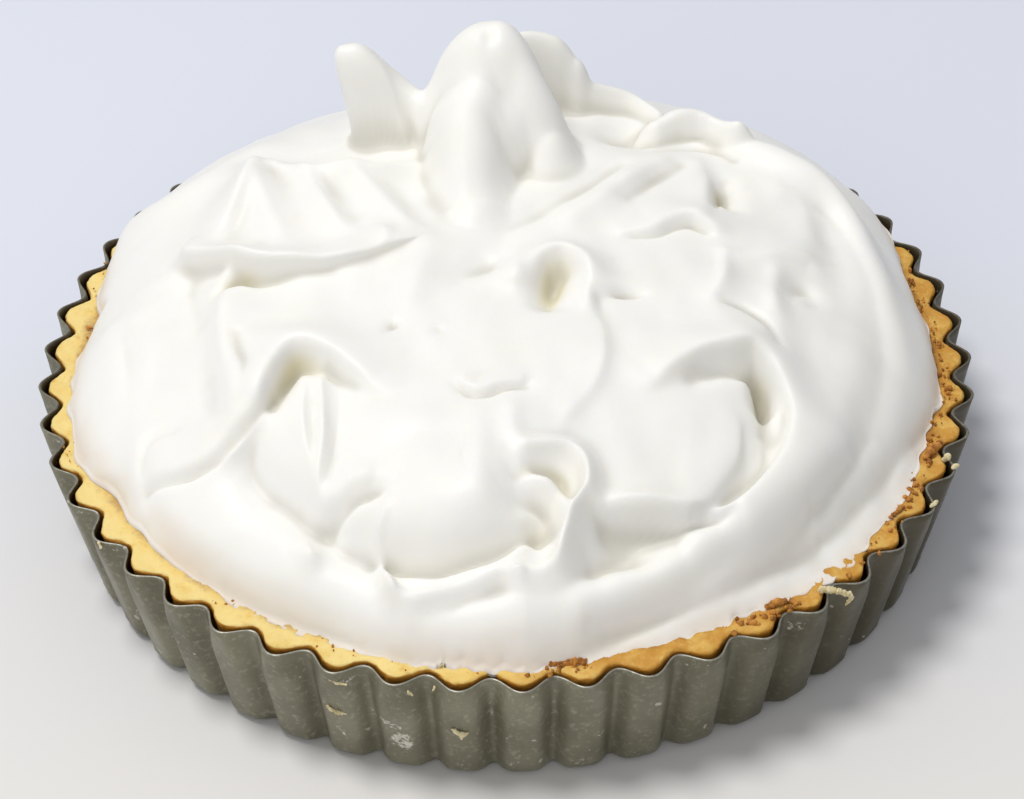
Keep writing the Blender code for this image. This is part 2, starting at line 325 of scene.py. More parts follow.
@dataclass
class MeringueForm:
    """The spooned surface of the meringue, in millimetres over its flat underside."""

    edge: tuple[tuple[float, float], ...] = (
        (0.0, 105.8), (7.0, 105.6), (14.0, 104.1), (19.0, 107.5), (24.0, 110.2), (33.0, 111.8), (47.0, 111.0),
        (62.0, 107.0), (80.0, 106.5), (100.0, 105.0), (120.0, 106.0), (138.0, 109.0), (150.0, 110.8), (158.0, 109.0),
        (165.0, 106.6), (171.5, 102.2), (176.0, 104.5), (180.0, 106.3), (187.0, 107.4), (199.0, 108.6),
        (208.0, 104.8), (222.0, 105.6), (236.0, 106.4), (250.0, 107.8), (269.0, 109.3), (281.0, 107.8),
        (293.0, 106.6), (302.0, 107.1), (312.0, 109.2), (323.0, 107.9), (331.0, 107.6), (341.0, 105.5),
        (350.0, 106.8))
    height: float = 37.8
    fullness: float = 3.1
    shoulder: float = 0.72
    fall: float = 30.0
    tall: float = 25.0
    waves: tuple[tuple[int, float, float], ...] = (
        (19, 0.25, 10.0), (31, 0.3, 3.0), (47, 0.25, 5.0), (73, 0.18, 1.0))
    swells: tuple[tuple[float, float, float], ...] = (
        (52.0, 0.6, 20.0), (33.0, 0.3, 75.0), (21.0, 0.22, 140.0), (13.0, 0.08, 50.0))
    # ragged stretches of the edge: waves round the pie, size, middle and spread in degrees
    ragged: tuple[tuple[int, float, float, float], ...] = (
        (97, 0.7, 316.0, 9.0), (131, 0.6, 300.0, 10.0), (151, 0.4, 268.0, 14.0), (83, 0.5, 345.0, 8.0),
        (67, 0.4, 178.0, 12.0))
    reach: float = 109.9
    frayed: float = 1.5
    evening: float = 16.0
    # how far the heap stands back from the edge, on a thin apron, at angles round the pie
    setback: tuple[tuple[float, float], ...] = (
        (222.0, 0.0), (232.0, 2.5), (250.0, 2.5), (262.0, 0.0), (272.0, 0.0), (282.0, 3.5), (294.0, 5.5), (308.0, 6.5), (322.0, 7.0), (334.0, 5.0), (348.0, 0.0))
    apron: float = 2.4
    strokes: tuple["Mound | Fold", ...] = ()

    def outline(self, angle: np.ndarray) -> np.ndarray:
        """Radius of the uneven edge at an angle."""
        knots = np.array(self.edge)
        radius = np.interp(np.degrees(angle), knots[:, 0], knots[:, 1], period=360.0)
        for count, size, crest in self.waves:
            radius = radius + size * np.cos(count * (angle - math.radians(crest)))
        for count, size, middle, spread in self.ragged:
            away = np.mod(angle - math.radians(middle) + math.pi, math.tau) - math.pi
            radius = radius + size * np.cos(count * away) * np.exp(-((away / math.radians(spread)) ** 2))
        return radius

    def even_outline(self, angle: np.ndarray) -> np.ndarray:
        """Radius of the edge at an angle, with its unevenness smoothed out."""
        knots = np.array(self.edge)
        turns = np.linspace(-0.5 * self.evening, 0.5 * self.evening, 9)
        total = sum(np.interp(np.degrees(angle) + turn, knots[:, 0], knots[:, 1], period=360.0) for turn in turns)
        return total / len(turns)

    def share(self, x: np.ndarray, y: np.ndarray, back: "np.ndarray | float" = 0.0) -> np.ndarray:
        """How far out each point lies.

        Args:
            x: The points' first coordinate.
            y: The points' second coordinate.
            back: How far the heap stands back from the edge there.

        Returns:
            0 in the middle to 1 on the uneven edge, or on the heap's own foot inside it.
        """
        angle, radius = np.arctan2(y, x), np.hypot(x, y)
        edge = self.outline(angle)
        plain = radius / (self.even_outline(angle) - back)
        near = np.clip(1.0 + (radius - edge) / self.frayed, 0.0, 1.0) ** 2 * (back == 0.0)
        return np.clip(plain + (radius / edge - plain) * near, 0.0, 1.0)

    def dome(self, x: np.ndarray, y: np.ndarray) -> np.ndarray:
        """Height of the plain dome, and of the thin apron it stands on."""
        knots = np.array(self.setback)
        back = np.interp(np.mod(np.degrees(np.arctan2(y, x)), 360.0), knots[:, 0], knots[:, 1])
        heap = self.height * (1.0 - self.share(x, y, back) ** self.fullness) ** self.shoulder
        return np.maximum(heap, self.apron * (1.0 - self.share(x, y) ** 12.0))

    def surface(self, x: np.ndarray, y: np.ndarray) -> np.ndarray:
        """The finished surface over flat arrays of points.

        Args:
            x: The points' first coordinate.
            y: The points' second coordinate.

        Returns:
            One row of x, y, z and painted yellow shade for each point; leaning crests have moved sideways.
        """
        dome = self.dome(x, y)
        top = dome + self.swell(x, y)
        extra = np.zeros((len(x), 3))
        for stroke in self.strokes:
            if isinstance(stroke, Mound):
                self.heap(stroke, x, y, dome, top, extra)
            else:
                self.drag(stroke, x, y, dome, top, extra)
        inside = np.clip((1.0 - self.share(x, y)) / 0.03, 0.0, 1.0)
        top = np.maximum(dome + (top - dome) * inside, 0.0)
        return np.column_stack([x + extra[:, 0], y + extra[:, 1], top, np.clip(extra[:, 2], 0.0, 1.0)])

    def swell(self, x: np.ndarray, y: np.ndarray) -> np.ndarray:
        """Slow unevenness between the strokes."""
        total = np.zeros_like(x)
        for length, size, turn in self.swells:
            heading = math.radians(turn)
            along = x * math.cos(heading) + y * math.sin(heading)
            across = y * math.cos(heading) - x * math.sin(heading)
            bend = along + 0.4 * length * np.sin(math.tau * across / (2.3 * length) + turn)
            total += size * np.sin(math.tau * bend / length + turn) * np.cos(math.tau * across / (1.4 * length))
        return total

    def heap(self, stroke: Mound, x: np.ndarray, y: np.ndarray, dome: np.ndarray,
             top: np.ndarray, extra: np.ndarray) -> None:
        """Work one mound into the surface, in place."""
        turn = math.radians(stroke.turn)
        off_x, off_y = x - stroke.x, y - stroke.y
        across = (off_x * math.cos(turn) + off_y * math.sin(turn)) / stroke.reach_x
        along = (off_y * math.cos(turn) - off_x * math.sin(turn)) / stroke.reach_y
        reach = np.hypot(across, along)
        near = reach < 3.0
        self.shape(stroke, near, reach[near] ** stroke.power, stroke.rise, dome, top)
        weight = np.exp(-2.0 * reach[near] ** 2)
        if stroke.work is Work.RAISE:
            weight = weight * np.clip((top[near] - dome[near]) / self.tall, 0.0, 1.0)
        extra[near] += weight[:, None] * np.array((*stroke.lean, stroke.tint))

    def drag(self, stroke: Fold, x: np.ndarray, y: np.ndarray, dome: np.ndarray,
             top: np.ndarray, extra: np.ndarray) -> None:
        """Drag one fold through the surface, in place."""
        path = smooth_path(stroke.path)
        margin = 3.2 * max(stroke.left, stroke.right)
        low, high = path.min(axis=0) - margin, path.max(axis=0) + margin
        near = (x > low[0]) & (x < high[0]) & (y > low[1]) & (y < high[1])
        distance, side, rise, normal_x, normal_y = along_path(path, x[near], y[near])
        reach = distance / (0.5 * (stroke.left + stroke.right) + 0.5 * (stroke.left - stroke.right) * side)
        self.shape(stroke, near, reach**stroke.power, rise, dome, top)
        weight = stroke.lean * np.exp(-2.0 * reach**2)
        extra[near, 0] += weight * normal_x
        extra[near, 1] += weight * normal_y
        extra[near, 2] += stroke.tint * np.exp(-2.0 * reach**2) * rise / np.max(path[:, 2])

    def shape(self, stroke: "Mound | Fold", near: np.ndarray, drop: np.ndarray,
              rise: "np.ndarray | float", dome: np.ndarray, top: np.ndarray) -> None:
        """Join a stroke's own profile with the surface, in place."""
        if stroke.work is Work.RAISE:
            top[near] = blend_up(top[near], dome[near] + rise - self.fall * drop, stroke.blend)
        else:
            sign = 1.0 if stroke.work is Work.PILE else -1.0
            top[near] += sign * rise * np.exp(-1.4 * drop)


RAISE, PILE, CARVE = Work.RAISE, Work.PILE, Work.CARVE

PEAKS = (
    # the main peak: a broad thumb on a wide foot, with a lobe down its right side
    Mound(RAISE, -2.5, 48.0, 32.0, 16.5, 14.0, power=2.5, blend=4.0),
    Mound(RAISE, 1.0, 38.0, 16.0, 22.0, 13.0, power=2.6, blend=7.0),
    Fold(RAISE, ((1, 47, 29), (5, 42, 26), (9, 37, 19), (12, 32, 9)), 11.5, 11.5, power=2.2, blend=8.0),
    # the nose that runs from it towards the front, and the shoulder on its left
    Fold(RAISE, ((-4, 43, 27), (-6, 38, 22.5), (-8, 32, 19), (-8, 26, 15.5), (-8, 19, 9.5), (-7, 12, 3)), 14.5, 13.0,
         power=2.4, blend=8.0),
    Mound(RAISE, -12.0, 37.0, 16.0, 9.5, 11.0, power=2.6, blend=6.0),
    Mound(RAISE, 1.0, 34.0, 13.0, 10.0, 12.0, power=2.6, blend=7.0),
    Fold(CARVE, ((-3, 40, 0.4), (-1, 36, 0.9), (1, 32, 0.9), (4, 28, 0.5)), 2.6, 2.6, power=1.7),
    Mound(CARVE, -2.5, 43.5, 1.4, 2.4, 2.4),
    # the horn on its left, joined to it by a saddle
    Fold(RAISE, ((-12, 46, 13), (-16, 47, 12), (-19, 49, 12.5), (-22, 50, 18), (-24.5, 50, 24.5), (-27, 50, 27),
                 (-30, 50, 27)), 8.0, 7.0, power=3.0, blend=8.0),
    Mound(RAISE, -30.0, 50.0, 1.0, 20.0, 16.0, lean=(-8.5, 0.0)),
    # the flaps behind it and the pillow to its right
    Fold(RAISE, ((2, 62, 22), (8, 64, 22.5), (15, 64, 20.5), (19, 63, 15)), 7.0, 7.0, power=2.4),
    Fold(RAISE, ((20, 61, 9), (27, 63, 7.5), (33, 63, 6), (40, 59, 3)), 7.0, 6.0, power=2.0),
    Mound(CARVE, 31.0, 49.0, 5.5, 9.0, 6.0),
    Fold(RAISE, ((39, 48, 5), (45, 51, 8), (52, 51, 8), (59, 45, 6)), 11.0, 6.5, power=2.2, blend=2.0, lean=-1.2),
    Fold(CARVE, ((39, 40, 1), (47, 43, 2.0), (53, 42, 2.2), (58, 37, 1.5)), 1.8, 1.8, power=1.5),
)

SWIRLS = (
    # the broad outer band, from the left round the front to the right
    Fold(PILE, ((-82, -56, 1), (-75.5, -70, 3), (-59, -83.5, 3), (-33.5, -98, 2.5), (-2.5, -105, 2.5), (19.5, -98.5, 3), (39.5, -89.5, 3.5), (56, -77.5, 3.5), (69.5, -61.5, 3), (78.5, -42.5, 2.5), (83.5, -26, 1.5)), 9, 7, power=1.9),
    # the valley inside it on the left
    Fold(CARVE, ((-60, -54.5, 1.5), (-57, -63, 4.2), (-49, -72, 5.6), (-37.5, -82, 5.6), (-27.5, -89.5, 3.6)), 4, 6, power=1.7, tint=0.1),
    # the round bulge at the front
    Fold(PILE, ((-21.5, -64, 1.5), (-17.5, -74.5, 3), (-10.5, -79.5, 3), (-3.5, -76, 2)), 12, 12, power=2),
    # its lower edge over the hollow
    Fold(PILE, ((-33, -79.5, 1.5), (-27.5, -83.5, 3), (-20.5, -86, 3.6), (-13.5, -87.5, 3.6), (-2, -86.5, 3.4), (10.5, -82.5, 2.4)), 10, 5, power=1.9),
    # the hollow under the front bulge
    Fold(CARVE, ((-28.5, -88.5, 3), (-24.5, -91, 5), (-16.5, -93.5, 5.5), (-8, -92.5, 5), (-1, -90.5, 4.5), (6, -86, 3)), 8, 1.4, power=1.6, tint=0.35),
    # the front hollow below the fold
    Fold(CARVE, ((-17.5, -99.5, 1.5), (-9.5, -97.5, 3), (0.5, -96, 3.5), (12, -95, 3), (26, -87, 1.5)), 2.2, 4.5, power=1.9, tint=0.1),
    # the band's edge over the lower right groove
    Fold(PILE, ((16.5, -100.5, 1.5), (32, -95, 2.6), (48, -87, 2.8), (63.5, -74, 2.8), (78, -53.5, 1.5)), 8, 2.2, power=1.7, lean=-0.8),
    # the groove round the lower right edge
    Fold(CARVE, ((17.5, -101.5, 2), (25.5, -98.5, 3.4), (37, -93, 3.6), (48.5, -86, 3.6), (59, -79.5, 3.6), (70, -68.5, 3), (77.5, -57.5, 2.4), (84.5, -45.5, 1)), 2, 2.2, power=1.6, tint=0.15),
    # the outer crest on the right
    Fold(PILE, ((73.5, -66, 1), (81.5, -55.5, 2), (89.5, -42, 2.2), (93, -31, 2.4), (95, -18.5, 2.6), (93.5, -6.5, 3.6), (91.5, 5, 5.5), (87.5, 20, 7.5), (81, 30, 8.5), (71.5, 37, 8), (62.5, 43, 6)), 9, 6, power=2),
    # the groove inside it
    Fold(CARVE, ((81, -51, 0.8), (86.5, -39, 1.6), (89.5, -26.5, 1.6), (90, -13, 1.6), (89, -1, 1.6), (85, 13.5, 1.8), (79.5, 23, 1.8), (72.5, 23, 1)), 4, 6, power=1.6),
    # the groove of the lower left edge
    Fold(CARVE, ((-81, -64, 1), (-76.5, -72, 2.4), (-68.5, -80.5, 3), (-55, -89.5, 3), (-42, -96, 2.6), (-33.5, -100.5, 1.2)), 2.2, 2.4, power=1.8, tint=0.15),
    # the dark line at the far left
    Fold(CARVE, ((-76.5, -45.5, 0.6), (-82.5, -45.5, 1.2), (-85, -49, 1.6), (-84.5, -55, 1.8), (-83, -63.5, 1.4)), 2.5, 2.5, power=1.5),
    # its bright lip
    Fold(PILE, ((-86.5, -44.5, 1), (-87, -52, 1.8), (-86, -59.5, 1.2)), 3, 3, power=1.8),
    # the left flank
    Fold(CARVE, ((-80, 6, 1), (-82, -13, 2), (-80, -29, 2.5), (-76.5, -42, 1.5)), 10, 10, power=2),
    # the shoulder of the middle over the left flank
    Fold(PILE, ((-65.5, -6.5, 2), (-66.5, -21.5, 3.5), (-65.5, -31.5, 3.5), (-63.5, -43.5, 3.5), (-63, -51.5, 2.2)), 9, 3.6, power=1.6, lean=-0.5),
    # its second line
    Fold(CARVE, ((-62.5, -28, 1.2), (-62, -32, 2), (-60.5, -39.5, 2), (-62, -48.5, 1)), 1.4, 1.8, power=1.4),
    # the hooked swirl's cap
    Fold(PILE, ((-59.5, -52, 3), (-56.5, -46.5, 5), (-54, -41, 6), (-50, -36.5, 6.5), (-45, -36.5, 6), (-39.5, -39, 5), (-34.5, -43, 3.5), (-29.5, -48, 1.5)), 9, 3.4, power=1.8, lean=-1.2),
    # the hook's hollow
    Fold(CARVE, ((-54, -49.5, 3), (-52, -44.5, 5.5), (-49.5, -39.5, 7.2), (-46.5, -39, 5), (-41.5, -42.5, 2.6), (-34.5, -47.5, 1.2)), 2.4, 2.9, power=1.8, tint=1),
    # the crease that runs from it to the left edge
    Fold(CARVE, ((-54.5, -47, 3), (-58, -52, 3.4), (-60.5, -54.5, 3.6), (-63.5, -56.5, 3.6), (-67.5, -59, 3.2), (-74, -59, 3), (-83, -55.5, 2.4)), 1.5, 1.4, power=1.4, tint=0.3),
    # the sheet above the crease
    Fold(PILE, ((-58, -51, 1.5), (-61, -55.5, 2.6), (-65.5, -58, 2.8), (-73, -58, 2.6), (-81.5, -55, 1.6)), 2.4, 9, power=1.5, lean=0.8),
    # tongue a
    Fold(PILE, ((-46.5, -46.5, 1), (-46.5, -56, 2.2), (-45.5, -63.5, 2), (-44, -70, 0.8)), 1.8, 4, power=1.5),
    # tongue b
    Fold(PILE, ((-43, -41, 1), (-42, -55.5, 2.2), (-42, -62.5, 2.2), (-43, -71, 1.8), (-42, -75, 2)), 1.8, 1.8, power=1.5),
    # dark right of the tongue
    Fold(CARVE, ((-39, -43.5, 0.6), (-38, -53.5, 1), (-39, -61, 1.2), (-40.5, -70, 1)), 4, 3, power=1.4),
    # the wavelet below
    Fold(CARVE, ((-44, -73.5, 1.5), (-41, -77.5, 3.4), (-37.5, -77.5, 4), (-33.5, -76.5, 4), (-29, -76.5, 2.2)), 2, 1.8, power=1.4),
    # wavelet bright
    Fold(PILE, ((-44, -74, 1.5), (-41, -75.5, 2.8), (-38, -76, 1.5)), 2.5, 2.5, power=1.6),
    # bright swell above the wavelet
    Fold(PILE, ((-37.5, -72, 1.5), (-33, -73.5, 2.4), (-30, -74.5, 1)), 5, 5, power=1.8),
    # the left end of the front fold
    Fold(PILE, ((-27.5, -81.5, 1.5), (-29, -84.5, 3), (-29, -87, 3.4), (-26, -97, 3.6)), 1.8, 2, power=1.4),
    # the front fold
    Fold(PILE, ((-27.5, -95.5, 2.6), (-22, -99, 3.4), (-15, -98.5, 3.6), (-8, -97, 3.6), (-2.5, -95.5, 3.4), (2.5, -96, 3)), 1.3, 1.5, power=1.4),
    # the loop
    Fold(PILE, ((1.5, -96, 4), (4.5, -96, 5), (8.5, -95.5, 5.5), (11.5, -93.5, 6), (13, -89, 6), (15, -85, 6), (18, -80.5, 6), (18.5, -75, 5.5), (17, -70.5, 4.5), (14, -68, 4), (9.5, -68, 3.5), (4.5, -69, 2)), 2.2, 2.8, power=1.5, lean=0.6),
    # the loop's inner ridge
    Fold(PILE, ((12.5, -84, 4), (11.5, -79.5, 4), (8, -77.5, 3), (3, -74.5, 1.5)), 2.2, 2.2, power=1.4),
    # the loop's hollow
    Fold(CARVE, ((2, -76, 1.5), (7, -74, 3), (11.5, -74.5, 4.6), (12.5, -79.5, 3)), 2.6, 2.6, power=1.8, tint=0.9),
    # the loop's lower hollow
    Fold(CARVE, ((3, -81.5, 2), (7, -81.5, 4), (9.5, -85, 5), (6.5, -87, 6)), 3.2, 3.2, power=1.8, tint=0.4),
    # the rounded roll down the middle
    Fold(PILE, ((-6.5, -59, 1), (-6.5, -69.5, 1.8), (-6, -80, 1.8), (-5, -86.5, 0.8)), 5, 5, power=1.9),
    # and its partner
    Fold(PILE, ((1, -59, 1), (1.5, -65.5, 1.5), (3, -69, 1)), 3.5, 3.5, power=1.8),
    # the little crease
    Fold(CARVE, ((-11.5, -50.5, 1), (-8, -53, 2.6), (-4.5, -53, 3), (0, -51.5, 2.4), (4.5, -51.5, 1.2)), 1.7, 1.2, power=1.3),
    # its lip
    Fold(PILE, ((-9.5, -50, 1.2), (-6.5, -52.5, 2.6), (-2, -51, 2.2), (3, -49.5, 1)), 3, 1.4, power=1.6, lean=-0.8),
    # the pocket
    Fold(CARVE, ((10, -22.5, 3.5), (11.5, -13.5, 7.5), (13, -11.5, 6)), 4.4, 4.4, power=2, tint=1),
    # the pocket's cap
    Fold(PILE, ((5.5, -14.5, 1.5), (8.5, -9, 4.5), (14, -6.5, 5.5), (19, -10.5, 5.5), (21.5, -17, 4.5), (21, -23.5, 3)), 4.5, 4, power=1.6, lean=-0.8),
    # the crescent below it
    Fold(PILE, ((20.5, -27, 0.8), (22.5, -33.5, 1.4), (22.5, -43.5, 1.6), (20, -51, 1.4), (15.5, -57, 1.2), (12.5, -61, 0.8)), 2.2, 9, power=1.5),
    # dark right of the pocket
    Fold(CARVE, ((22, -18.5, 1), (22.5, -23, 2), (22.5, -28, 0.6)), 3.2, 2.6, power=1.6),
    # crease on the right of the middle
    Fold(CARVE, ((25, -21, 1), (28, -20, 3.2), (32.5, -20, 1)), 1.5, 1.5, power=1.4),
    # little pits
    Fold(CARVE, ((-27.5, -31.5, 0.8), (-26, -30, 1.8), (-25, -30.5, 0.8)), 1.6, 1.6, power=1.6),
    # little pits 2
    Fold(CARVE, ((-17, -33, 0.4), (-15.5, -32.5, 0.9), (-14.5, -33, 0.4)), 1.3, 1.3, power=1.6),
    # swell left of the pocket
    Fold(PILE, ((-17.5, -3.5, 1), (-20.5, -14, 1.8), (-22.5, -21.5, 1)), 5, 5, power=1.8),
    # dent left of the pocket
    Fold(CARVE, ((-10, -14.5, 1.5), (-4.5, -9, 3), (-1, -7, 2)), 5, 5, power=1.9),
    # swell by the dent
    Fold(PILE, ((2.5, -7, 1.5), (2.5, -16.5, 2.6), (2.5, -19, 1)), 3.5, 3.5, power=1.8),
    # the swirl's upper lip
    Fold(PILE, ((33.5, -47, 1), (38.5, -43, 3.5), (45, -39, 5.5), (51.5, -37, 6.5), (58, -35, 6.5), (63.5, -40, 6.5), (66.5, -46, 6), (67.5, -52.5, 5.5), (65, -61.5, 4.2), (60, -69.5, 3.8), (53.5, -76.5, 3.5), (45.5, -79.5, 3), (35, -81, 3), (26, -80.5, 2.5), (20.5, -82, 1.2)), 9, 3.4, power=1.7, lean=-1.4),
    # the dark under the lip
    Fold(CARVE, ((43, -46, 1.2), (49, -41.5, 3), (54.5, -39.5, 5.5), (58, -39.5, 8), (59.5, -41, 9), (59.5, -47.5, 6)), 2.6, 3, power=2, tint=0.5),
    # the eye of the swirl
    Fold(CARVE, ((57.5, -39, 2), (58.5, -40.5, 5), (59, -45, 5), (59, -55, 2)), 1.8, 1.8, power=1.8, tint=0.5),
    # the groove that leads on from it
    Fold(CARVE, ((59.5, -58, 2), (58, -64, 3), (52, -71, 3), (44, -78, 1.8)), 2.6, 4, power=1.6),
    # the bowl's own edge
    Fold(PILE, ((52.5, -57, 1), (51.5, -65, 2.4), (46, -73, 2.4), (40, -79.5, 1.5)), 2, 9, power=1.6, lean=0.8),
    # the bowl's lower edge
    Fold(PILE, ((22, -81.5, 1.5), (30, -81.5, 4), (38, -81, 4.2), (47, -79, 3)), 9, 1.8, power=1.6, lean=-1.6),
    # the deep line under the swirl
    Fold(CARVE, ((21.5, -84, 3), (30, -83.5, 6), (38.5, -81.5, 6), (46.5, -79.5, 5), (51.5, -78, 2)), 1.8, 2.8, power=1.7, tint=0.1),
    # the thin crease over the lip
    Fold(CARVE, ((52, -21, 1), (56.5, -22, 1.8), (61.5, -26.5, 1.8), (64.5, -33, 1)), 1.3, 1.3, power=1.4),
    # the bump on the right
    Fold(PILE, ((58, -3.5, 1.2), (65, -0.5, 2.2), (73, 1.5, 2.2), (76, -0.5, 1.4)), 6, 4, power=1.7, lean=-0.4),
    # the dark below it
    Fold(CARVE, ((66.5, -13.5, 1.2), (71, -9, 2.4), (73.5, -12.5, 1.2)), 4, 4, power=1.9, tint=0.1),
    # upright ridge beside it
    Fold(PILE, ((65.5, -7, 1.5), (64, -18.5, 2.4), (65, -24, 1)), 3.5, 3.5, power=1.7),
    # upright ridge further left
    Fold(PILE, ((53, -3, 1.5), (52, -13.5, 2.6), (49.5, -19.5, 1)), 3.4, 2.6, power=1.6),
    # the curved edge at the upper right
    Fold(PILE, ((62.5, 29.5, 1.2), (68.5, 26, 2.2), (73.5, 22.5, 2.4), (74.5, 11.5, 1.8)), 5, 9, power=1.6, lean=0.6),
    # the hollow beyond it
    Fold(CARVE, ((78.5, 22, 1), (78.5, 10.5, 1.2), (79, -2, 1)), 7, 7, power=1.8),
    # the pit
    Fold(CARVE, ((51.5, 16.5, 2), (53.5, 25, 6), (54.5, 19, 2)), 1.8, 1.8, power=1.8, tint=1),
    # the dark round the pit
    Fold(CARVE, ((53, 28.5, 1.5), (54.5, 26.5, 2.5), (56.5, 17.5, 1.5)), 4, 3, power=1.8),
    # the lip with the shadow, upper right
    Fold(PILE, ((29.5, 3, 1.2), (35.5, 3.5, 2.4), (40, 6, 3.2), (45.5, 8, 3.6), (50.5, 6, 2.8)), 7, 2.4, power=1.5, lean=-0.8),
    # its shadow
    Fold(CARVE, ((31, 1.5, 1.2), (36.5, 2.5, 2.4), (41, 5.5, 3), (45, 7, 3.5), (49, 5, 2)), 1.6, 2, power=1.4),
    # facet groove
    Fold(CARVE, ((30.5, 17, 1.5), (36, 24.5, 3), (43, 32, 1.8)), 3, 4.5, power=1.6),
    # facet edge on the right
    Fold(PILE, ((48.5, 34, 1.2), (50, 23.5, 1.8), (48.5, 12, 1.2)), 3.4, 8, power=1.5, lean=0.5),
    # diagonal groove
    Fold(CARVE, ((-0.5, 3, 0.6), (8, 10.5, 1.2), (17.5, 19, 1.6), (23.5, 25, 1.8), (29.5, 31.5, 1)), 3.4, 3.4, power=1.6),
    # diagonal ridge
    Fold(PILE, ((5, 0.5, 1), (14, 6, 2), (21.5, 12, 2.8), (29.5, 22, 2.4), (39.5, 32.5, 2)), 5, 5, power=1.7),
    # small left peak main ridge
    Fold(PILE, ((-61.5, 35, 5), (-60, 25.5, 6), (-57.5, 15, 5), (-54, 4.5, 2)), 6, 8, power=1.6),
    # small left peak left ridge
    Fold(PILE, ((-62.5, 32, 4), (-65.5, 20.5, 5), (-69, 12.5, 3)), 3.4, 8, power=1.5),
    # ridge 2
    Fold(PILE, ((-49, 26.5, 3), (-45, 18, 4.5), (-40.5, 8.5, 3.5), (-35.5, 2, 1.5)), 3.4, 8, power=1.6),
    # ridge 1
    Fold(PILE, ((-36, 24, 3), (-30.5, 17.5, 4), (-24.5, 7.5, 3.2), (-19.5, 3, 1.5)), 3.4, 8, power=1.6),
    # the sill they hang from
    Fold(PILE, ((-56, 34, 4), (-47, 28, 5), (-39, 28, 5), (-30, 26.5, 5), (-22.5, 30, 2.5)), 4, 5, power=1.6),
    # swell under ridge 1
    Fold(PILE, ((-32, 5, 1.5), (-29, 1, 2.6), (-26.5, 0, 1)), 4, 4, power=1.8),
    # the long roll
    Fold(PILE, ((-76, 8, 5), (-70, 3, 7), (-59.5, -5, 7), (-50, -6.5, 6), (-40, -6, 4.4), (-31.5, -3.5, 2.8), (-23, 0, 1.4)), 6, 2.4, power=1.8, lean=-2.2),
    # the dark under the roll
    Fold(CARVE, ((-67, -9.5, 3), (-62.5, -7.5, 6), (-57.5, -9, 3), (-50.5, -9, 1.2), (-41.5, -8.5, 0.6)), 2, 3, power=1.7, tint=0.9),
    # a line down the left flank
    Fold(CARVE, ((-93.5, -5, 0.8), (-90.5, -17, 1.5), (-89.5, -27.5, 0.8)), 3, 3, power=1.8),
    # streak in the left flank
    Fold(CARVE, ((-75, 2.5, 1), (-75, -4, 2), (-72.5, -19, 1)), 4, 4, power=1.8),
    # the small blob
    Fold(PILE, ((-46, -83, 1.5), (-44.5, -85, 3), (-43.5, -84, 1.5)), 2.6, 2.6, power=2),
    # the high back on the left
    Fold(PILE, ((-104.5, 28.5, 1.5), (-102, 46.5, 3), (-88, 39, 3.5), (-75, 42.5, 4), (-64, 50.5, 3)), 9, 9, power=1.9),
    # the valley right of the loop
    Fold(CARVE, ((18.5, -89.5, 4), (23.5, -87.5, 6), (30, -87.5, 5), (37, -85.5, 3)), 4.2, 4.2, power=1.9, tint=0.1),
)

# --------------------------------------------------------------------- finishes


@dataclass(frozen=True)
class SoftMeringue:
    """Unbaked, silky meringue: near white, with painted yellow shade in its deep hollows, painted grey shade in its
    creases and painted warm shade at its thin edge over the crust.
    """

    white: tuple = rgba(249, 248, 244)
    # painted yellow shade for the deep hollows
    hollow: tuple = rgba(228, 218, 176)
    # painted grey shade for the creases
    crease: tuple = rgba(208, 205, 194)
    # painted warm shade for the thin edge over the crust
    brim: tuple = rgba(238, 222, 204)
    roughness: float = 0.42
    glow: float = 0.22

    def build(self) -> bpy.types.Material:
        """Make the material; it reads the mesh's hollow, crease and thin attributes, which carry its painted shade."""
        material, graph, shader = new_material("soft_meringue")
        place = graph.add("ShaderNodeTexCoord").outputs["Object"]
        depth = graph.add("ShaderNodeAttribute", attribute_name="hollow").outputs["Fac"]
        cloud = graph.noise(place, 60.0, 3.0)
        fold = graph.add("ShaderNodeAttribute", attribute_name="crease").outputs["Fac"]
        # painted yellow shade in the hollows, laid in by the strokes' tint
        tint = graph.mix(graph.ramp(depth, 0.1, 0.9), self.white, self.hollow)
        cloudy = graph.mix(graph.ramp(cloud, 0.35, 0.75, 0.0, 0.35), tint, rgba(243, 240, 231))
        # painted grey shade in the creases
        tone = graph.mix(graph.ramp(fold, 0.05, 0.9, 0.0, 0.75), cloudy, self.crease)
        # painted warm shade along the thin edge, broken up by the cloud
        thin = graph.add("ShaderNodeAttribute", attribute_name="thin").outputs["Fac"]
        thin = graph.math("MULTIPLY", thin, graph.ramp(cloud, 0.25, 0.7, 0.35, 1.0))
        tone = graph.mix(thin, tone, self.brim)
        graph.feed(shader.inputs["Base Color"], tone)
        graph.feed(shader.inputs["Roughness"], graph.ramp(cloud, 0.3, 0.7, self.roughness, 0.55))
        shader.inputs["Specular IOR Level"].default_value = 0.35
        shader.inputs["Subsurface Weight"].default_value = self.glow
        shader.inputs["Subsurface Radius"].default_value = (1.0, 0.85, 0.6)
        shader.inputs["Subsurface Scale"].default_value = 0.004
        fine = graph.noise(place, 900.0, 3.0)
        soft = graph.noise(place, 160.0, 3.0)
        height = graph.math("ADD", graph.math("MULTIPLY", fine, 0.25), soft)
        bump = graph.add("ShaderNodeBump", {"Strength": 0.12, "Distance": 0.0006, "Height": height})
        graph.feed(shader.inputs["Normal"], bump.outputs[0])
        return material


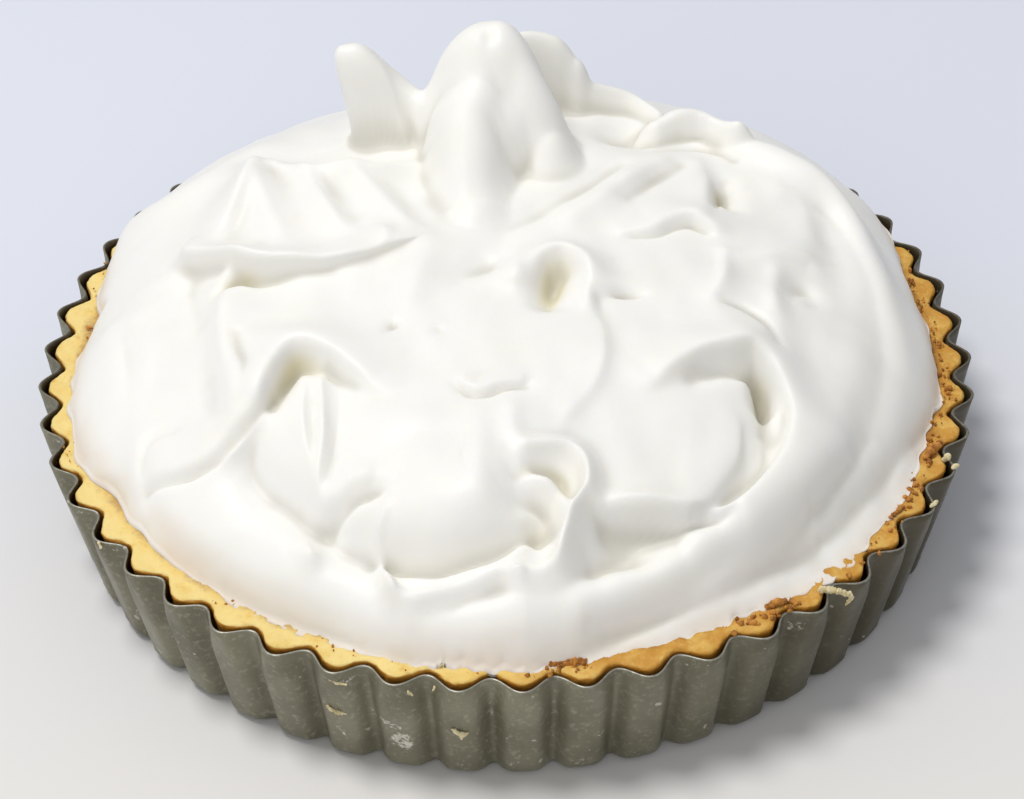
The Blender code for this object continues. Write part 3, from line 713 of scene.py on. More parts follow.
@dataclass
class Meringue:
    """The heaped meringue: its worked top, its rolled edge and its flat underside."""

    form: MeringueForm
    cells: int = 300
    underside: float = 33.9
    softness: int = 2
    crease_passes: int = 20
    crease_depth: float = 0.75
    thin_edge: float = 0.055

    def disc(self) -> tuple[np.ndarray, np.ndarray]:
        """A square grid drawn out to the meringue's outline, as two flat arrays."""
        line = np.linspace(-1.0, 1.0, self.cells + 1)
        across, along = np.meshgrid(line, line, indexing="ij")
        reach = np.maximum(np.abs(across), np.abs(along))
        angle = np.arctan2(along, across)
        quarter = np.round(angle / (0.5 * math.pi))
        steer = np.where(np.mod(quarter, 2.0) == 0.0, along, across)
        span = np.where(reach > 0.0, steer / np.maximum(reach, 1e-9), 0.0)
        swing = 0.25 * math.pi * span
        turned = np.select([quarter == 0.0, quarter == 1.0, quarter == -1.0],
                           [swing, 0.5 * math.pi - swing, -0.5 * math.pi + swing], math.pi - swing)
        even = self.form.even_outline(turned)
        radius = reach * (even + (self.form.outline(turned) - even) * reach**30.0)
        return (radius * np.cos(turned)).ravel(), (radius * np.sin(turned)).ravel()

    def relax(self, rows: np.ndarray, passes: int) -> np.ndarray:
        """Soften the top's crests and creases; the edge stays.

        Args:
            rows: One row of x, y, z and tint for each point of the grid.
            passes: How many times to soften.

        Returns:
            The softened rows.
        """
        side = self.cells + 1
        grid = rows.reshape(side, side, -1).copy()
        for _ in range(passes):
            inner = 0.5 * grid[1:-1, 1:-1]
            inner = inner + 0.125 * (grid[:-2, 1:-1] + grid[2:, 1:-1] + grid[1:-1, :-2] + grid[1:-1, 2:])
            grid[1:-1, 1:-1] = inner
        return grid.reshape(side * side, -1)

    def creases(self, rows: np.ndarray) -> np.ndarray:
        """How deep each point lies in a crease, from 0 to 1.

        Args:
            rows: One row of x, y, z and tint for each point of the grid.

        Returns:
            One value for each point.
        """
        side = self.cells + 1
        place = rows[:, :3].reshape(side, side, 3)
        normal = np.cross(np.gradient(place, axis=0), np.gradient(place, axis=1))
        normal /= np.maximum(np.linalg.norm(normal, axis=2), 1e-9)[..., None]
        around = self.relax(rows[:, :3], self.crease_passes).reshape(side, side, 3)
        depth = ((around - place) * normal).sum(axis=2) / self.crease_depth
        depth = np.clip(depth, 0.0, 1.0).ravel()[:, None]
        return self.relax(depth, self.softness)[:, 0]

    def build(self) -> None:
        """Make the meringue and hand it over."""
        x, y = self.disc()
        rows = self.relax(self.form.surface(x, y), self.softness)
        crease = self.creases(rows)
        top, tint = rows[:, :3], rows[:, 3]
        side = self.cells + 1
        grid = np.arange(side * side).reshape(side, side)
        faces = np.column_stack([grid[:-1, :-1].ravel(), grid[1:, :-1].ravel(), grid[1:, 1:].ravel(),
                                 grid[:-1, 1:].ravel()])
        rim = np.concatenate([grid[0, :-1], grid[:-1, -1], grid[-1, :0:-1], grid[:0:-1, 0]])
        points = [top + (0.0, 0.0, self.underside + 0.9)]
        count = len(top)
        edge = points[0][rim]
        for inset, drop in ((0.0, 0.4), (0.15, 0.9)):
            away = edge[:, :2] / np.linalg.norm(edge[:, :2], axis=1)[:, None]
            ring = np.column_stack([edge[:, :2] - inset * away, edge[:, 2] - drop])
            points.append(ring)
        points.append(np.array([[0.0, 0.0, self.underside]]))
        rings = [rim, count + np.arange(len(rim)), count + len(rim) + np.arange(len(rim))]
        skirt = []
        for upper, lower in zip(rings, rings[1:]):
            skirt.append(np.column_stack([upper, lower, np.roll(lower, -1), np.roll(upper, -1)]))
        hub = count + 2 * len(rim)
        last = rings[-1]
        fan = np.column_stack([last, np.full(len(last), hub), np.roll(last, -1)])
        piece = self.join(np.vstack(points), np.vstack([faces] + skirt), fan)
        # masks of painted shade: yellow in the hollows, grey in the creases, warm at the thin edge
        thin = np.clip(1.0 - (1.0 - self.form.share(x, y)) / self.thin_edge, 0.0, 1.0) ** 1.5
        for name, measure in (("hollow", tint), ("crease", crease), ("thin", thin)):
            values = np.zeros(hub + 1)
            values[:count] = measure
            piece.data.attributes.new(name, "FLOAT", "POINT").data.foreach_set("value", values)
        place_piece(piece, "meringue", "meringue")

    def join(self, points: np.ndarray, quads: np.ndarray, fan: np.ndarray) -> bpy.types.Object:
        """One closed mesh from its points, its four-sided faces and the fan under it."""
        data = bpy.data.meshes.new("soft_meringue")
        data.from_pydata((points * MM).tolist(), [], quads.tolist() + fan.tolist())
        data.materials.append(SoftMeringue().build())
        data.shade_smooth()
        piece = bpy.data.objects.new("soft_meringue", data)
        bpy.context.collection.objects.link(piece)
        return piece


# ----------------------------------------------------------- fluted tin and crust


@dataclass
class FlutedSweep:
    """A section swept round the pie, with flutes pressed into its wall.

    The section's points are (crest radius, flute depth, height) in millimetres.
    The grooves grow narrower from the wall's top to its foot.
    """

    flutes: int = 49
    first_angle: float = 183.2
    columns: int = 20
    wall_top: float = 34.5
    sharp_foot: float = 3.4
    sharp_top: float = 1.1
    sharp_from: float = 24.0
    wander: float = 0.5
    crumble: float = 0.0
    crumble_foot: float = 26.0
    front_lift: float = 0.0

    def tree(self, finish: bpy.types.Material) -> bpy.types.NodeTree:
        """Build the geometry tree that sweeps and presses."""
        tree = bpy.data.node_groups.new("fluted_sweep", "GeometryNodeTree")
        tree.interface.new_socket("Section", in_out="INPUT", socket_type="NodeSocketGeometry")
        for label in ("Rows", "Columns", "Flutes"):
            tree.interface.new_socket(label, in_out="INPUT", socket_type="NodeSocketInt")
        for label in ("First Angle", "Sharp From", "Wall Top", "Sharp Foot", "Sharp Top", "Wander",
                      "Crumble", "Crumble Foot", "Front Lift"):
            tree.interface.new_socket(label, in_out="INPUT", socket_type="NodeSocketFloat")
        tree.interface.new_socket("Swept", in_out="OUTPUT", socket_type="NodeSocketGeometry")
        graph = Graph(tree)
        given = graph.add("NodeGroupInput").outputs
        columns = graph.math("ADD", given["Columns"], 1.0)
        grid = graph.add("GeometryNodeMeshGrid", {"Vertices X": columns, "Vertices Y": given["Rows"]})
        index = graph.add("GeometryNodeInputIndex").outputs[0]
        column = graph.math("FLOOR", graph.math("DIVIDE", graph.math("ADD", index, 0.5), given["Rows"]))
        row = graph.math("SUBTRACT", index, graph.math("MULTIPLY", column, given["Rows"]))
        place = graph.add("GeometryNodeInputPosition").outputs[0]
        sample = graph.add("GeometryNodeSampleIndex", data_type="FLOAT_VECTOR", domain="POINT")
        graph.feed(sample.inputs["Geometry"], given["Section"])
        graph.feed(sample.inputs["Value"], place)
        graph.feed(sample.inputs["Index"], row)
        radius, depth, height = graph.add("ShaderNodeSeparateXYZ", {0: sample.outputs[0]}).outputs
        angle = graph.math("DIVIDE", graph.math("MULTIPLY", column, math.tau), given["Columns"])
        wave = graph.math("COSINE", graph.math("MULTIPLY", angle, given["Flutes"]))
        groove = graph.math("MAXIMUM", graph.math("SUBTRACT", 0.5, graph.math("MULTIPLY", wave, 0.5)), 0.0)
        sharp = graph.ramp(height, given["Sharp From"], given["Wall Top"], given["Sharp Foot"],
                           given["Sharp Top"])
        pressed = graph.math("MULTIPLY", graph.math("POWER", groove, sharp), depth)
        turned = graph.math("ADD", angle, given["First Angle"])
        away = graph.add("ShaderNodeCombineXYZ", {0: graph.math("COSINE", turned),
                         1: graph.math("SINE", turned)}).outputs[0]
        bent = graph.math("SUBTRACT", graph.noise(away, 7.0, 3.0), 0.5)
        bent = graph.math("MULTIPLY", graph.math("MULTIPLY", bent, given["Wander"]), graph.math(
            "DIVIDE", depth, 0.004))
        reach = graph.math("ADD", graph.math("SUBTRACT", radius, pressed), bent)
        spot = graph.add("ShaderNodeVectorMath", {0: away, "Scale": reach}, operation="SCALE").outputs[0]
        front = graph.math("MULTIPLY", graph.math("MAXIMUM", graph.math("SINE", graph.math(
            "ADD", turned, math.pi)), 0.0), given["Front Lift"])
        front = graph.math("MULTIPLY", front, graph.ramp(height, given["Crumble Foot"], given["Wall Top"]))
        lift = graph.add("ShaderNodeCombineXYZ", {2: graph.math("ADD", height, front)}).outputs[0]
        moved = graph.add("GeometryNodeSetPosition", {"Geometry": grid.outputs["Mesh"],
                          "Position": graph.vector("ADD", spot, lift)}).outputs[0]
        closed = graph.add("GeometryNodeMergeByDistance", {"Geometry": moved, "Distance": 3e-6}).outputs[0]
        rough = self.crumble_offset(graph, place, given)
        broken = graph.add("GeometryNodeSetPosition", {"Geometry": closed, "Offset": rough}).outputs[0]
        smooth = graph.add("GeometryNodeSetShadeSmooth", {"Geometry": broken}).outputs[0]
        real = graph.add("GeometryNodeRealizeInstances", {"Geometry": smooth}).outputs[0]
        dressed = graph.add("GeometryNodeSetMaterial", {"Geometry": real, "Material": finish}).outputs[0]
        graph.add("NodeGroupOutput", {"Swept": dressed})
        return tree

    def crumble_offset(self, graph: Graph, place: bpy.types.NodeSocket,
                       given: bpy.types.NodeSocket) -> bpy.types.NodeSocket:
        """Lumps and pits along the surface's normal, near the top only."""
        coarse = graph.noise(place, 150.0, 2.0)
        fine = graph.noise(place, 520.0, 4.0, 0.62)
        lump = graph.math("ADD", graph.math("MULTIPLY", coarse, 1.3), fine)
        lump = graph.math("SUBTRACT", lump, 1.15)
        height = graph.add("ShaderNodeSeparateXYZ", {0: place}).outputs["Z"]
        share = graph.ramp(height, given["Crumble Foot"], given["Wall Top"])
        size = graph.math("MULTIPLY", graph.math("MULTIPLY", lump, given["Crumble"]), share)
        normal = graph.add("GeometryNodeInputNormal").outputs[0]
        return graph.add("ShaderNodeVectorMath", {0: normal, "Scale": size}, operation="SCALE").outputs[0]

    def build(self, section: list[tuple[float, float, float]], finish: bpy.types.Material,
              name: str) -> bpy.types.Object:
        """Sweep one section.

        Args:
            section: The section's points.
            finish: The new piece's material.
            name: The new piece's name.

        Returns:
            The swept piece.
        """
        edges = [(i, i + 1) for i in range(len(section) - 1)]
        host = point_host(name + "_section", section, edges)
        values = {"Rows": len(section), "Columns": self.flutes * self.columns, "Flutes": self.flutes,
                  "First Angle": math.radians(self.first_angle), "Sharp From": self.sharp_from * MM,
                  "Wall Top": self.wall_top * MM, "Sharp Foot": self.sharp_foot,
                  "Sharp Top": self.sharp_top, "Wander": self.wander * MM, "Crumble": self.crumble * MM,
                  "Crumble Foot": self.crumble_foot * MM, "Front Lift": self.front_lift * MM}
        return run_tree(host, self.tree(finish), values, name)


@dataclass(frozen=True)
class NonStickCoat:
    """Dark olive-grey baked coat, satin, rubbed bright along the cut rim, with that brightness painted stronger at the
    front as a painted highlight; painted shade darkens the tin's right side and its inward faces.
    """

    coat: tuple = rgba(135, 132, 112)
    shaded: tuple = rgba(108, 105, 86)
    speckle: tuple = rgba(174, 171, 150)
    rubbed_rim_and_highlight: tuple = rgba(168, 167, 158)
    # painted shade colour for the tin's right side and its inward faces
    inside: tuple = rgba(64, 57, 40)
    flour: tuple = rgba(226, 222, 210)
    roughness: float = 0.42
    rim_height: float = 34.5
    wall_radius: float = 110.5
    smudges: tuple = (
        # angle round the pie, height, half size along and up the wall, turn on the wall, strength
        (257.0, 11.8, 3.4, 4.4, 12.0, 1.0),
        (255.8, 18.0, 4.0, 1.4, -28.0, 0.9),
        (253.0, 16.0, 1.8, 4.0, 15.0, 0.75),
        (249.3, 11.5, 1.4, 2.8, 15.0, 0.85),
        (248.6, 16.0, 1.8, 1.4, 0.0, 0.7),
        (258.5, 31.0, 1.6, 1.8, 25.0, 0.85),
        (261.0, 31.0, 1.0, 1.4, 0.0, 0.75),
        (250.6, 31.4, 3.4, 0.9, 8.0, 0.95),
        (264.2, 3.6, 2.0, 1.5, 0.0, 0.75),
        (270.4, 16.5, 2.2, 3.6, 0.0, 0.62),
        (270.5, 5.0, 3.4, 2.0, 0.0, 0.72),
        (277.7, 4.4, 3.6, 1.8, 10.0, 0.75),
        (280.6, 14.0, 1.2, 4.0, 0.0, 0.62),
        (239.0, 9.0, 2.0, 3.5, 0.0, 0.68),
        (230.6, 29.0, 1.2, 1.5, 0.0, 0.75),
        (305.6, 30.0, 4.0, 2.2, 0.0, 0.7),
        (193.0, 33.0, 1.5, 1.0, 0.0, 0.8),
        (207.0, 33.0, 1.2, 1.0, 0.0, 0.8),
        (215.0, 32.8, 1.0, 1.0, 0.0, 0.8),
    )

    def smudge(self, graph: Graph, place: bpy.types.NodeSocket, spot: tuple) -> bpy.types.NodeSocket:
        """A soft oval mask on the wall.

        Args:
            graph: The material's graph.
            place: The object coordinates.
            spot: One row of the smudges.

        Returns:
            The row's strength in the middle of the oval, 0 outside.
        """
        angle, height, along, rise, turn, strength = spot
        mapping = graph.add("ShaderNodeMapping", {"Vector": place}, vector_type="TEXTURE")
        mapping.inputs["Location"].default_value = [c * MM for c in polar(angle, self.wall_radius, height)]
        mapping.inputs["Rotation"].default_value = (math.radians(turn), 0.0, math.radians(angle))
        mapping.inputs["Scale"].default_value = (0.006, along * MM, rise * MM)
        length = graph.add("ShaderNodeVectorMath", {0: mapping.outputs[0]}, operation="LENGTH")
        return graph.ramp(length.outputs["Value"], 1.4, 0.5, 0.0, strength)

    def dusting(self, graph: Graph, place: bpy.types.NodeSocket) -> bpy.types.NodeSocket:
        """The mask of all the flour on the wall."""
        mask = 0.0
        for spot in self.smudges:
            mask = graph.math("MAXIMUM", mask, self.smudge(graph, place, spot))
        dust = graph.noise(place, 620.0, 6.0, 0.78, 0.8)
        limit = graph.math("SUBTRACT", 0.78, graph.math("MULTIPLY", mask, 0.36))
        patch = graph.ramp(graph.math("SUBTRACT", dust, limit), 0.0, 0.12, 0.0, 0.9)
        specks = graph.ramp(graph.noise(place, 330.0, 2.0, 0.4), 0.72, 0.76, 0.0, 0.5)
        return graph.math("MAXIMUM", patch, specks)

    def build(self) -> bpy.types.Material:
        """Make the material."""
        material, graph, shader = new_material("tin_non_stick_coat")
        place = graph.add("ShaderNodeTexCoord").outputs["Object"]
        height = graph.add("ShaderNodeSeparateXYZ", {0: place}).outputs["Z"]
        cloud = graph.noise(place, 45.0, 4.0)
        grain = graph.noise(place, 700.0, 3.0, 0.6)
        shade = graph.mix(graph.ramp(cloud, 0.3, 0.72), self.coat, self.shaded)
        shade = graph.mix(graph.ramp(grain, 0.5, 0.75, 0.0, 0.5), shade, self.speckle)
        ragged = graph.math("ADD", height, graph.math("MULTIPLY", grain, 0.0008))
        edge = graph.ramp(ragged, (self.rim_height + 0.05) * MM, (self.rim_height + 0.45) * MM)
        dusty = self.dusting(graph, place)
        # painted shade: the tin's right side is painted darker and browner
        across, along = graph.add("ShaderNodeSeparateXYZ", {0: place}).outputs[:2]
        turned = graph.math("SUBTRACT", across, graph.math("MULTIPLY", along, 0.2))
        shade = graph.mix(graph.ramp(turned, 0.03, 0.12, 0.0, 0.9), shade, self.inside)
        # painted shade: faces turned in towards the middle are painted dark, as shade on the inner wall
        facing = graph.add("ShaderNodeNewGeometry").outputs["Normal"]
        outward = graph.add("ShaderNodeVectorMath", {0: facing, 1: place}, operation="DOT_PRODUCT").outputs["Value"]
        flat = graph.math("MULTIPLY", graph.add("ShaderNodeSeparateXYZ", {0: facing}).outputs["Z"], height)
        inward = graph.math("SUBTRACT", outward, flat)
        shade = graph.mix(graph.ramp(inward, 0.02, -0.02), shade, self.inside)
        # painted highlight: the rubbed rim is brightest at the front and fades to a quarter towards the back
        edge = graph.math("MULTIPLY", edge, graph.ramp(along, 0.0, -0.06, 0.25, 1.0))
        shade = graph.mix(edge, shade, self.rubbed_rim_and_highlight)
        graph.feed(shader.inputs["Base Color"], graph.mix(dusty, shade, self.flour))
        bare = graph.math("SUBTRACT", 1.0, dusty)
        graph.feed(shader.inputs["Metallic"], graph.math("MULTIPLY", bare, graph.ramp(edge, 0.0, 1.0, 0.25, 0.9)))
        rough = graph.ramp(cloud, 0.3, 0.7, self.roughness - 0.06, self.roughness + 0.08)
        graph.feed(shader.inputs["Roughness"], graph.math("MAXIMUM", rough, graph.math("MULTIPLY", dusty, 0.9)))
        relief = graph.math("ADD", graph.math("MULTIPLY", grain, 0.3), graph.math("MULTIPLY", dusty, 0.6))
        bump = graph.add("ShaderNodeBump", {"Strength": 0.35, "Distance": 0.0003, "Height": relief})
        graph.feed(shader.inputs["Normal"], bump.outputs[0])
        return material


@dataclass
class TartTin:
    """The pressed sheet tin: a flat base, a rounded corner and a fluted wall."""

    height: float = 34.5
    rim_radius: float = 115.0
    base_radius: float = 108.2
    corner: float = 4.0
    sheet: float = 0.7
    rim_depth: float = 4.4
    base_depth: float = 3.8
    foot_depth: float = 2.0
    wall_rows: int = 14
    corner_rows: int = 6

    def side(self, inset: float, lift: float) -> list[tuple[float, float, float]]:
        """One side of the sheet from the middle of the base to the rim.

        Args:
            inset: How far the wall lies inside the outer face.
            lift: How far the base lies above the underside.

        Returns:
            Points of crest radius, flute depth and height.
        """
        foot = self.base_radius - self.corner
        points = [(0.0, 0.0, lift), (0.6 * foot, 0.0, lift), (foot - 6.0, 0.0, lift)]
        for row in range(self.corner_rows + 1):
            turn = 0.5 * math.pi * row / self.corner_rows
            radius = foot + (self.corner - inset) * math.sin(turn)
            depth = self.foot_depth + (self.base_depth - self.foot_depth) * row / self.corner_rows
            points.append((radius, depth, lift + (self.corner - lift) * (1.0 - math.cos(turn))))
        top = self.height - 0.15
        for row in range(1, self.wall_rows + 1):
            share = row / self.wall_rows
            radius = self.base_radius + (self.rim_radius - self.base_radius) * share - inset
            depth = self.base_depth + (self.rim_depth - self.base_depth) * share
            points.append((radius, depth, self.corner + (top - self.corner) * share))
        return points

    def build(self) -> None:
        """Make the tin and hand it over."""
        middle = (self.rim_radius - 0.5 * self.sheet, self.rim_depth, self.height)
        section = self.side(0.0, 0.0) + [middle] + self.side(self.sheet, self.sheet)[::-1]
        sweep = FlutedSweep(wall_top=self.height)
        piece = sweep.build(section, NonStickCoat().build(), "tin_shell")
        place_piece(piece, "tin_coat", "tart_tin")


@dataclass(frozen=True)
class BakedPastry:
    """Golden short pastry, browner towards the right; amber on its steep sides, partly browning where it touched the
    tin and partly painted shade; painted shade darkens it lower down in the gap to the tin; browned at its inner edge,
    where painted shade from the meringue's foot also falls.
    """

    pale: tuple = rgba(242, 217, 142)
    golden: tuple = rgba(232, 196, 108)
    toasted: tuple = rgba(204, 148, 58)
    amber: tuple = rgba(204, 140, 46)
    brown: tuple = rgba(150, 92, 30)
    top: float = 34.2

    def build(self) -> bpy.types.Material:
        """Make the material."""
        material, graph, shader = new_material("baked_pastry")
        place = graph.add("ShaderNodeTexCoord").outputs["Object"]
        across, along, height = graph.add("ShaderNodeSeparateXYZ", {0: place}).outputs
        flat = graph.add("ShaderNodeCombineXYZ", {0: across, 1: along}).outputs[0]
        radius = graph.add("ShaderNodeVectorMath", {0: flat}, operation="LENGTH").outputs["Value"]
        cloud = graph.noise(place, 55.0, 4.0, 0.6)
        patch = graph.noise(place, 210.0, 5.0, 0.65)
        grain = graph.noise(place, 1100.0, 3.0, 0.6)
        # browner and darker towards the right and the front, with cloudy unevenness
        right = graph.ramp(graph.math("SUBTRACT", across, graph.math("MULTIPLY", along, 0.3)), -0.02, 0.09)
        browner_to_the_right = graph.math("ADD", right, graph.math("MULTIPLY", graph.math("SUBTRACT", cloud, 0.5), 1.6))
        shade = graph.mix(graph.ramp(browner_to_the_right, 0.0, 0.55), self.pale, self.golden)
        shade = graph.mix(graph.ramp(browner_to_the_right, 0.4, 0.95), shade, self.toasted)
        shade = graph.mix(graph.ramp(patch, 0.42, 0.72, 0.0, 0.75), shade, self.golden)
        shade = graph.mix(graph.ramp(patch, 0.60, 0.78, 0.0, 0.55), shade, self.amber)
        # amber on the steep sides: partly browning where the pastry touched the tin, partly painted shade
        facing = graph.add("ShaderNodeNewGeometry").outputs["Normal"]
        level = graph.add("ShaderNodeSeparateXYZ", {0: facing}).outputs["Z"]
        side = graph.ramp(graph.math("ADD", level, graph.math("MULTIPLY", patch, 0.2)), 0.80, 0.45)
        shade = graph.mix(side, shade, self.amber)
        # painted shade: darker brown lower down the wall, in the gap between crust and tin
        low = graph.ramp(height, (self.top - 0.5) * MM, (self.top - 4.0) * MM, 0.0, 0.6)
        shade = graph.mix(low, shade, self.brown)
        # browned and painted shade at the inner edge, where the meringue's foot lies on the crust
        inner = graph.math("ADD", radius, graph.math("MULTIPLY", graph.math("SUBTRACT", patch, 0.5), 0.008))
        browned_and_shaded_edge = graph.ramp(inner, 0.1075, 0.1045, 0.0, 0.6)
        shade = graph.mix(browned_and_shaded_edge, shade, self.brown)
        shade = graph.mix(graph.ramp(grain, 0.55, 0.75, 0.0, 0.35), shade, self.pale)
        graph.feed(shader.inputs["Base Color"], shade)
        graph.feed(shader.inputs["Roughness"], graph.ramp(patch, 0.3, 0.7, 0.55, 0.8))
        shader.inputs["Specular IOR Level"].default_value = 0.4
        shader.inputs["Subsurface Weight"].default_value = 0.12
        shader.inputs["Subsurface Radius"].default_value = (1.0, 0.5, 0.2)
        shader.inputs["Subsurface Scale"].default_value = 0.002
        relief = graph.math("ADD", graph.math("MULTIPLY", grain, 0.35), patch)
        bump = graph.add("ShaderNodeBump", {"Strength": 0.7, "Distance": 0.0007, "Height": relief})
        graph.feed(shader.inputs["Normal"], bump.outputs[0])
        return material


@dataclass
class PastryCrust:
    """The baked case: a bed, a fluted wall shrunk from the tin, and a rounded crown."""

    floor: float = 1.2
    foot_radius: float = 102.5
    wall_foot: float = 5.0
    wall_radius: float = 106.0
    crown_radius: float = 112.6
    depth: float = 3.6
    top: float = 34.2
    rounding: float = 0.9
    bed_radius: float = 100.0
    bed_height: float = 34.3
    wall_rows: int = 8
    crown_rows: int = 7
    bed_rows: int = 16

    def section(self) -> list[tuple[float, float, float]]:
        """The crust's section, from the middle of its underside round to the middle of its bed."""
        points = [(0.0, 0.0, self.floor), (0.9 * self.foot_radius, 0.0, self.floor),
                  (self.foot_radius, 1.0, self.floor + 0.6)]
        start = self.top - self.rounding
        for row in range(self.wall_rows + 1):
            share = row / self.wall_rows
            radius = self.wall_radius + (self.crown_radius - self.wall_radius) * share
            points.append((radius, self.depth, self.wall_foot + (start - self.wall_foot) * share))
        for row in range(1, self.crown_rows + 1):
            turn = 0.5 * math.pi * row / self.crown_rows
            radius = self.crown_radius - self.rounding * (1.0 - math.cos(turn))
            points.append((radius, self.depth, start + self.rounding * math.sin(turn)))
        inner = self.crown_radius - self.rounding
        for row in range(1, self.bed_rows + 1):
            share = row / self.bed_rows
            radius = inner + (self.bed_radius - inner) * share
            lift = (self.bed_height - self.top) * share
            points.append((radius, self.depth * (1.0 - share) ** 1.5, self.top + lift))
        points.append((0.0, 0.0, self.bed_height))
        return points

    def build(self) -> None:
        """Make the crust and hand it over."""
        sweep = FlutedSweep(columns=24, wall_top=self.top, sharp_foot=1.3, sharp_top=1.15, wander=1.6,
                            crumble=0.9, crumble_foot=27.0, front_lift=0.8)
        piece = sweep.build(self.section(), BakedPastry().build(), "baked_crust")
        place_piece(piece, "pastry", "pastry_crust")


# --------------------------------------------------------------- crumbs and flecks


@dataclass(frozen=True)
class CrumbFinish:
    """Dry broken pastry or dough in one main tone."""

    name: str
    light: tuple
    dark: tuple

    def build(self) -> bpy.types.Material:
        """Make the material."""
        material, graph, shader = new_material(self.name)
        place = graph.add("ShaderNodeTexCoord").outputs["Object"]
        grain = graph.noise(place, 480.0, 4.0, 0.6)
        graph.feed(shader.inputs["Base Color"], graph.mix(graph.ramp(grain, 0.35, 0.65), self.light, self.dark))
        shader.inputs["Roughness"].default_value = 0.75
        bump = graph.add("ShaderNodeBump", {"Strength": 0.5, "Distance": 0.0003, "Height": grain})
        graph.feed(shader.inputs["Normal"], bump.outputs[0])
        return material


@dataclass
class Crumbs:
    """Broken bits, each a small uneven stone, set on given points."""

    name: str
    finish: CrumbFinish
    slot: str
    seed: int

    def tree(self, finish: bpy.types.Material) -> bpy.types.NodeTree:
        """Build the tree that sets a turned, uneven stone on each point."""
        tree = bpy.data.node_groups.new(self.name + "_scatter", "GeometryNodeTree")
        tree.interface.new_socket("Points", in_out="INPUT", socket_type="NodeSocketGeometry")
        tree.interface.new_socket("Seed", in_out="INPUT", socket_type="NodeSocketInt")
        tree.interface.new_socket("Unevenness", in_out="INPUT", socket_type="NodeSocketFloat")
        tree.interface.new_socket("Crumbs", in_out="OUTPUT", socket_type="NodeSocketGeometry")
        graph = Graph(tree)
        given = graph.add("NodeGroupInput").outputs
        stone = graph.add("GeometryNodeMeshIcoSphere", {"Radius": 1.0, "Subdivisions": 2}).outputs[0]
        turn = graph.add("FunctionNodeRandomValue", data_type="FLOAT_VECTOR")
        turn.inputs[1].default_value = (math.tau, math.tau, math.tau)
        graph.feed(turn.inputs["Seed"], given["Seed"])
        size = graph.add("GeometryNodeInputNamedAttribute", {"Name": "size"}, data_type="FLOAT").outputs[0]
        squash = graph.add("FunctionNodeRandomValue", data_type="FLOAT_VECTOR")
        squash.inputs[0].default_value = (0.65, 0.65, 0.45)
        squash.inputs[1].default_value = (1.25, 1.0, 0.8)
        graph.feed(squash.inputs["Seed"], graph.math("ADD", given["Seed"], 7.0))
        scale = graph.add("ShaderNodeVectorMath", {0: squash.outputs[0], "Scale": size}, operation="SCALE")
        placed = graph.add("GeometryNodeInstanceOnPoints", {"Points": given["Points"], "Instance": stone,
                           "Rotation": turn.outputs[0], "Scale": scale.outputs[0]}).outputs[0]
        real = graph.add("GeometryNodeRealizeInstances", {"Geometry": placed}).outputs[0]
        place = graph.add("GeometryNodeInputPosition").outputs[0]
        noise = graph.add("ShaderNodeTexNoise", {"Vector": place, "Scale": 900.0, "Detail": 1.0})
        push = graph.vector("SUBTRACT", noise.outputs["Color"], (0.5, 0.5, 0.5))
        push = graph.add("ShaderNodeVectorMath", {0: push, "Scale": given["Unevenness"]}, operation="SCALE")
        broken = graph.add("GeometryNodeSetPosition", {"Geometry": real, "Offset": push.outputs[0]}).outputs[0]
        smooth = graph.add("GeometryNodeSetShadeSmooth", {"Geometry": broken}).outputs[0]
        dressed = graph.add("GeometryNodeSetMaterial", {"Geometry": smooth, "Material": finish}).outputs[0]
        graph.add("NodeGroupOutput", {"Crumbs": dressed})
        return tree

    def build(self, points: list[tuple[float, float, float, float]]) -> None:
        """Set a crumb on each point.

        Args:
            points: One row of x, y, z and size for each crumb, in millimetres.
        """
        host = point_host(self.name + "_points", [point[:3] for point in points])
        size = host.data.attributes.new("size", "FLOAT", "POINT")
        size.data.foreach_set("value", [point[3] * MM for point in points])
        values = {"Seed": self.seed, "Unevenness": 0.0005}
        place_piece(run_tree(host, self.tree(self.finish.build()), values, self.name), self.slot)


def chain(path: list[tuple[float, float, float, float]], gap: float) -> list[tuple[float, float, float, float]]:
    """Overlapping bits along a line, which read as one lump or fleck.

    Args:
        path: Knots of angle in degrees, radius, height and size of the bit, in millimetres.
        gap: The distance between bits, as a share of their size.

    Returns:
        One row of x, y, z and size for each bit, in millimetres.
    """
    knots = [(*polar(*knot[:3]), knot[3]) for knot in path]
    rows = []
    for start, end in zip(knots, knots[1:]):
        length = math.dist(start[:3], end[:3])
        count = max(1, round(length / (gap * 0.5 * (start[3] + end[3]))))
        for step in range(count):
            share = step / count
            rows.append(tuple(a + (b - a) * share for a, b in zip(start, end)))
    rows.append(knots[-1])
    return rows


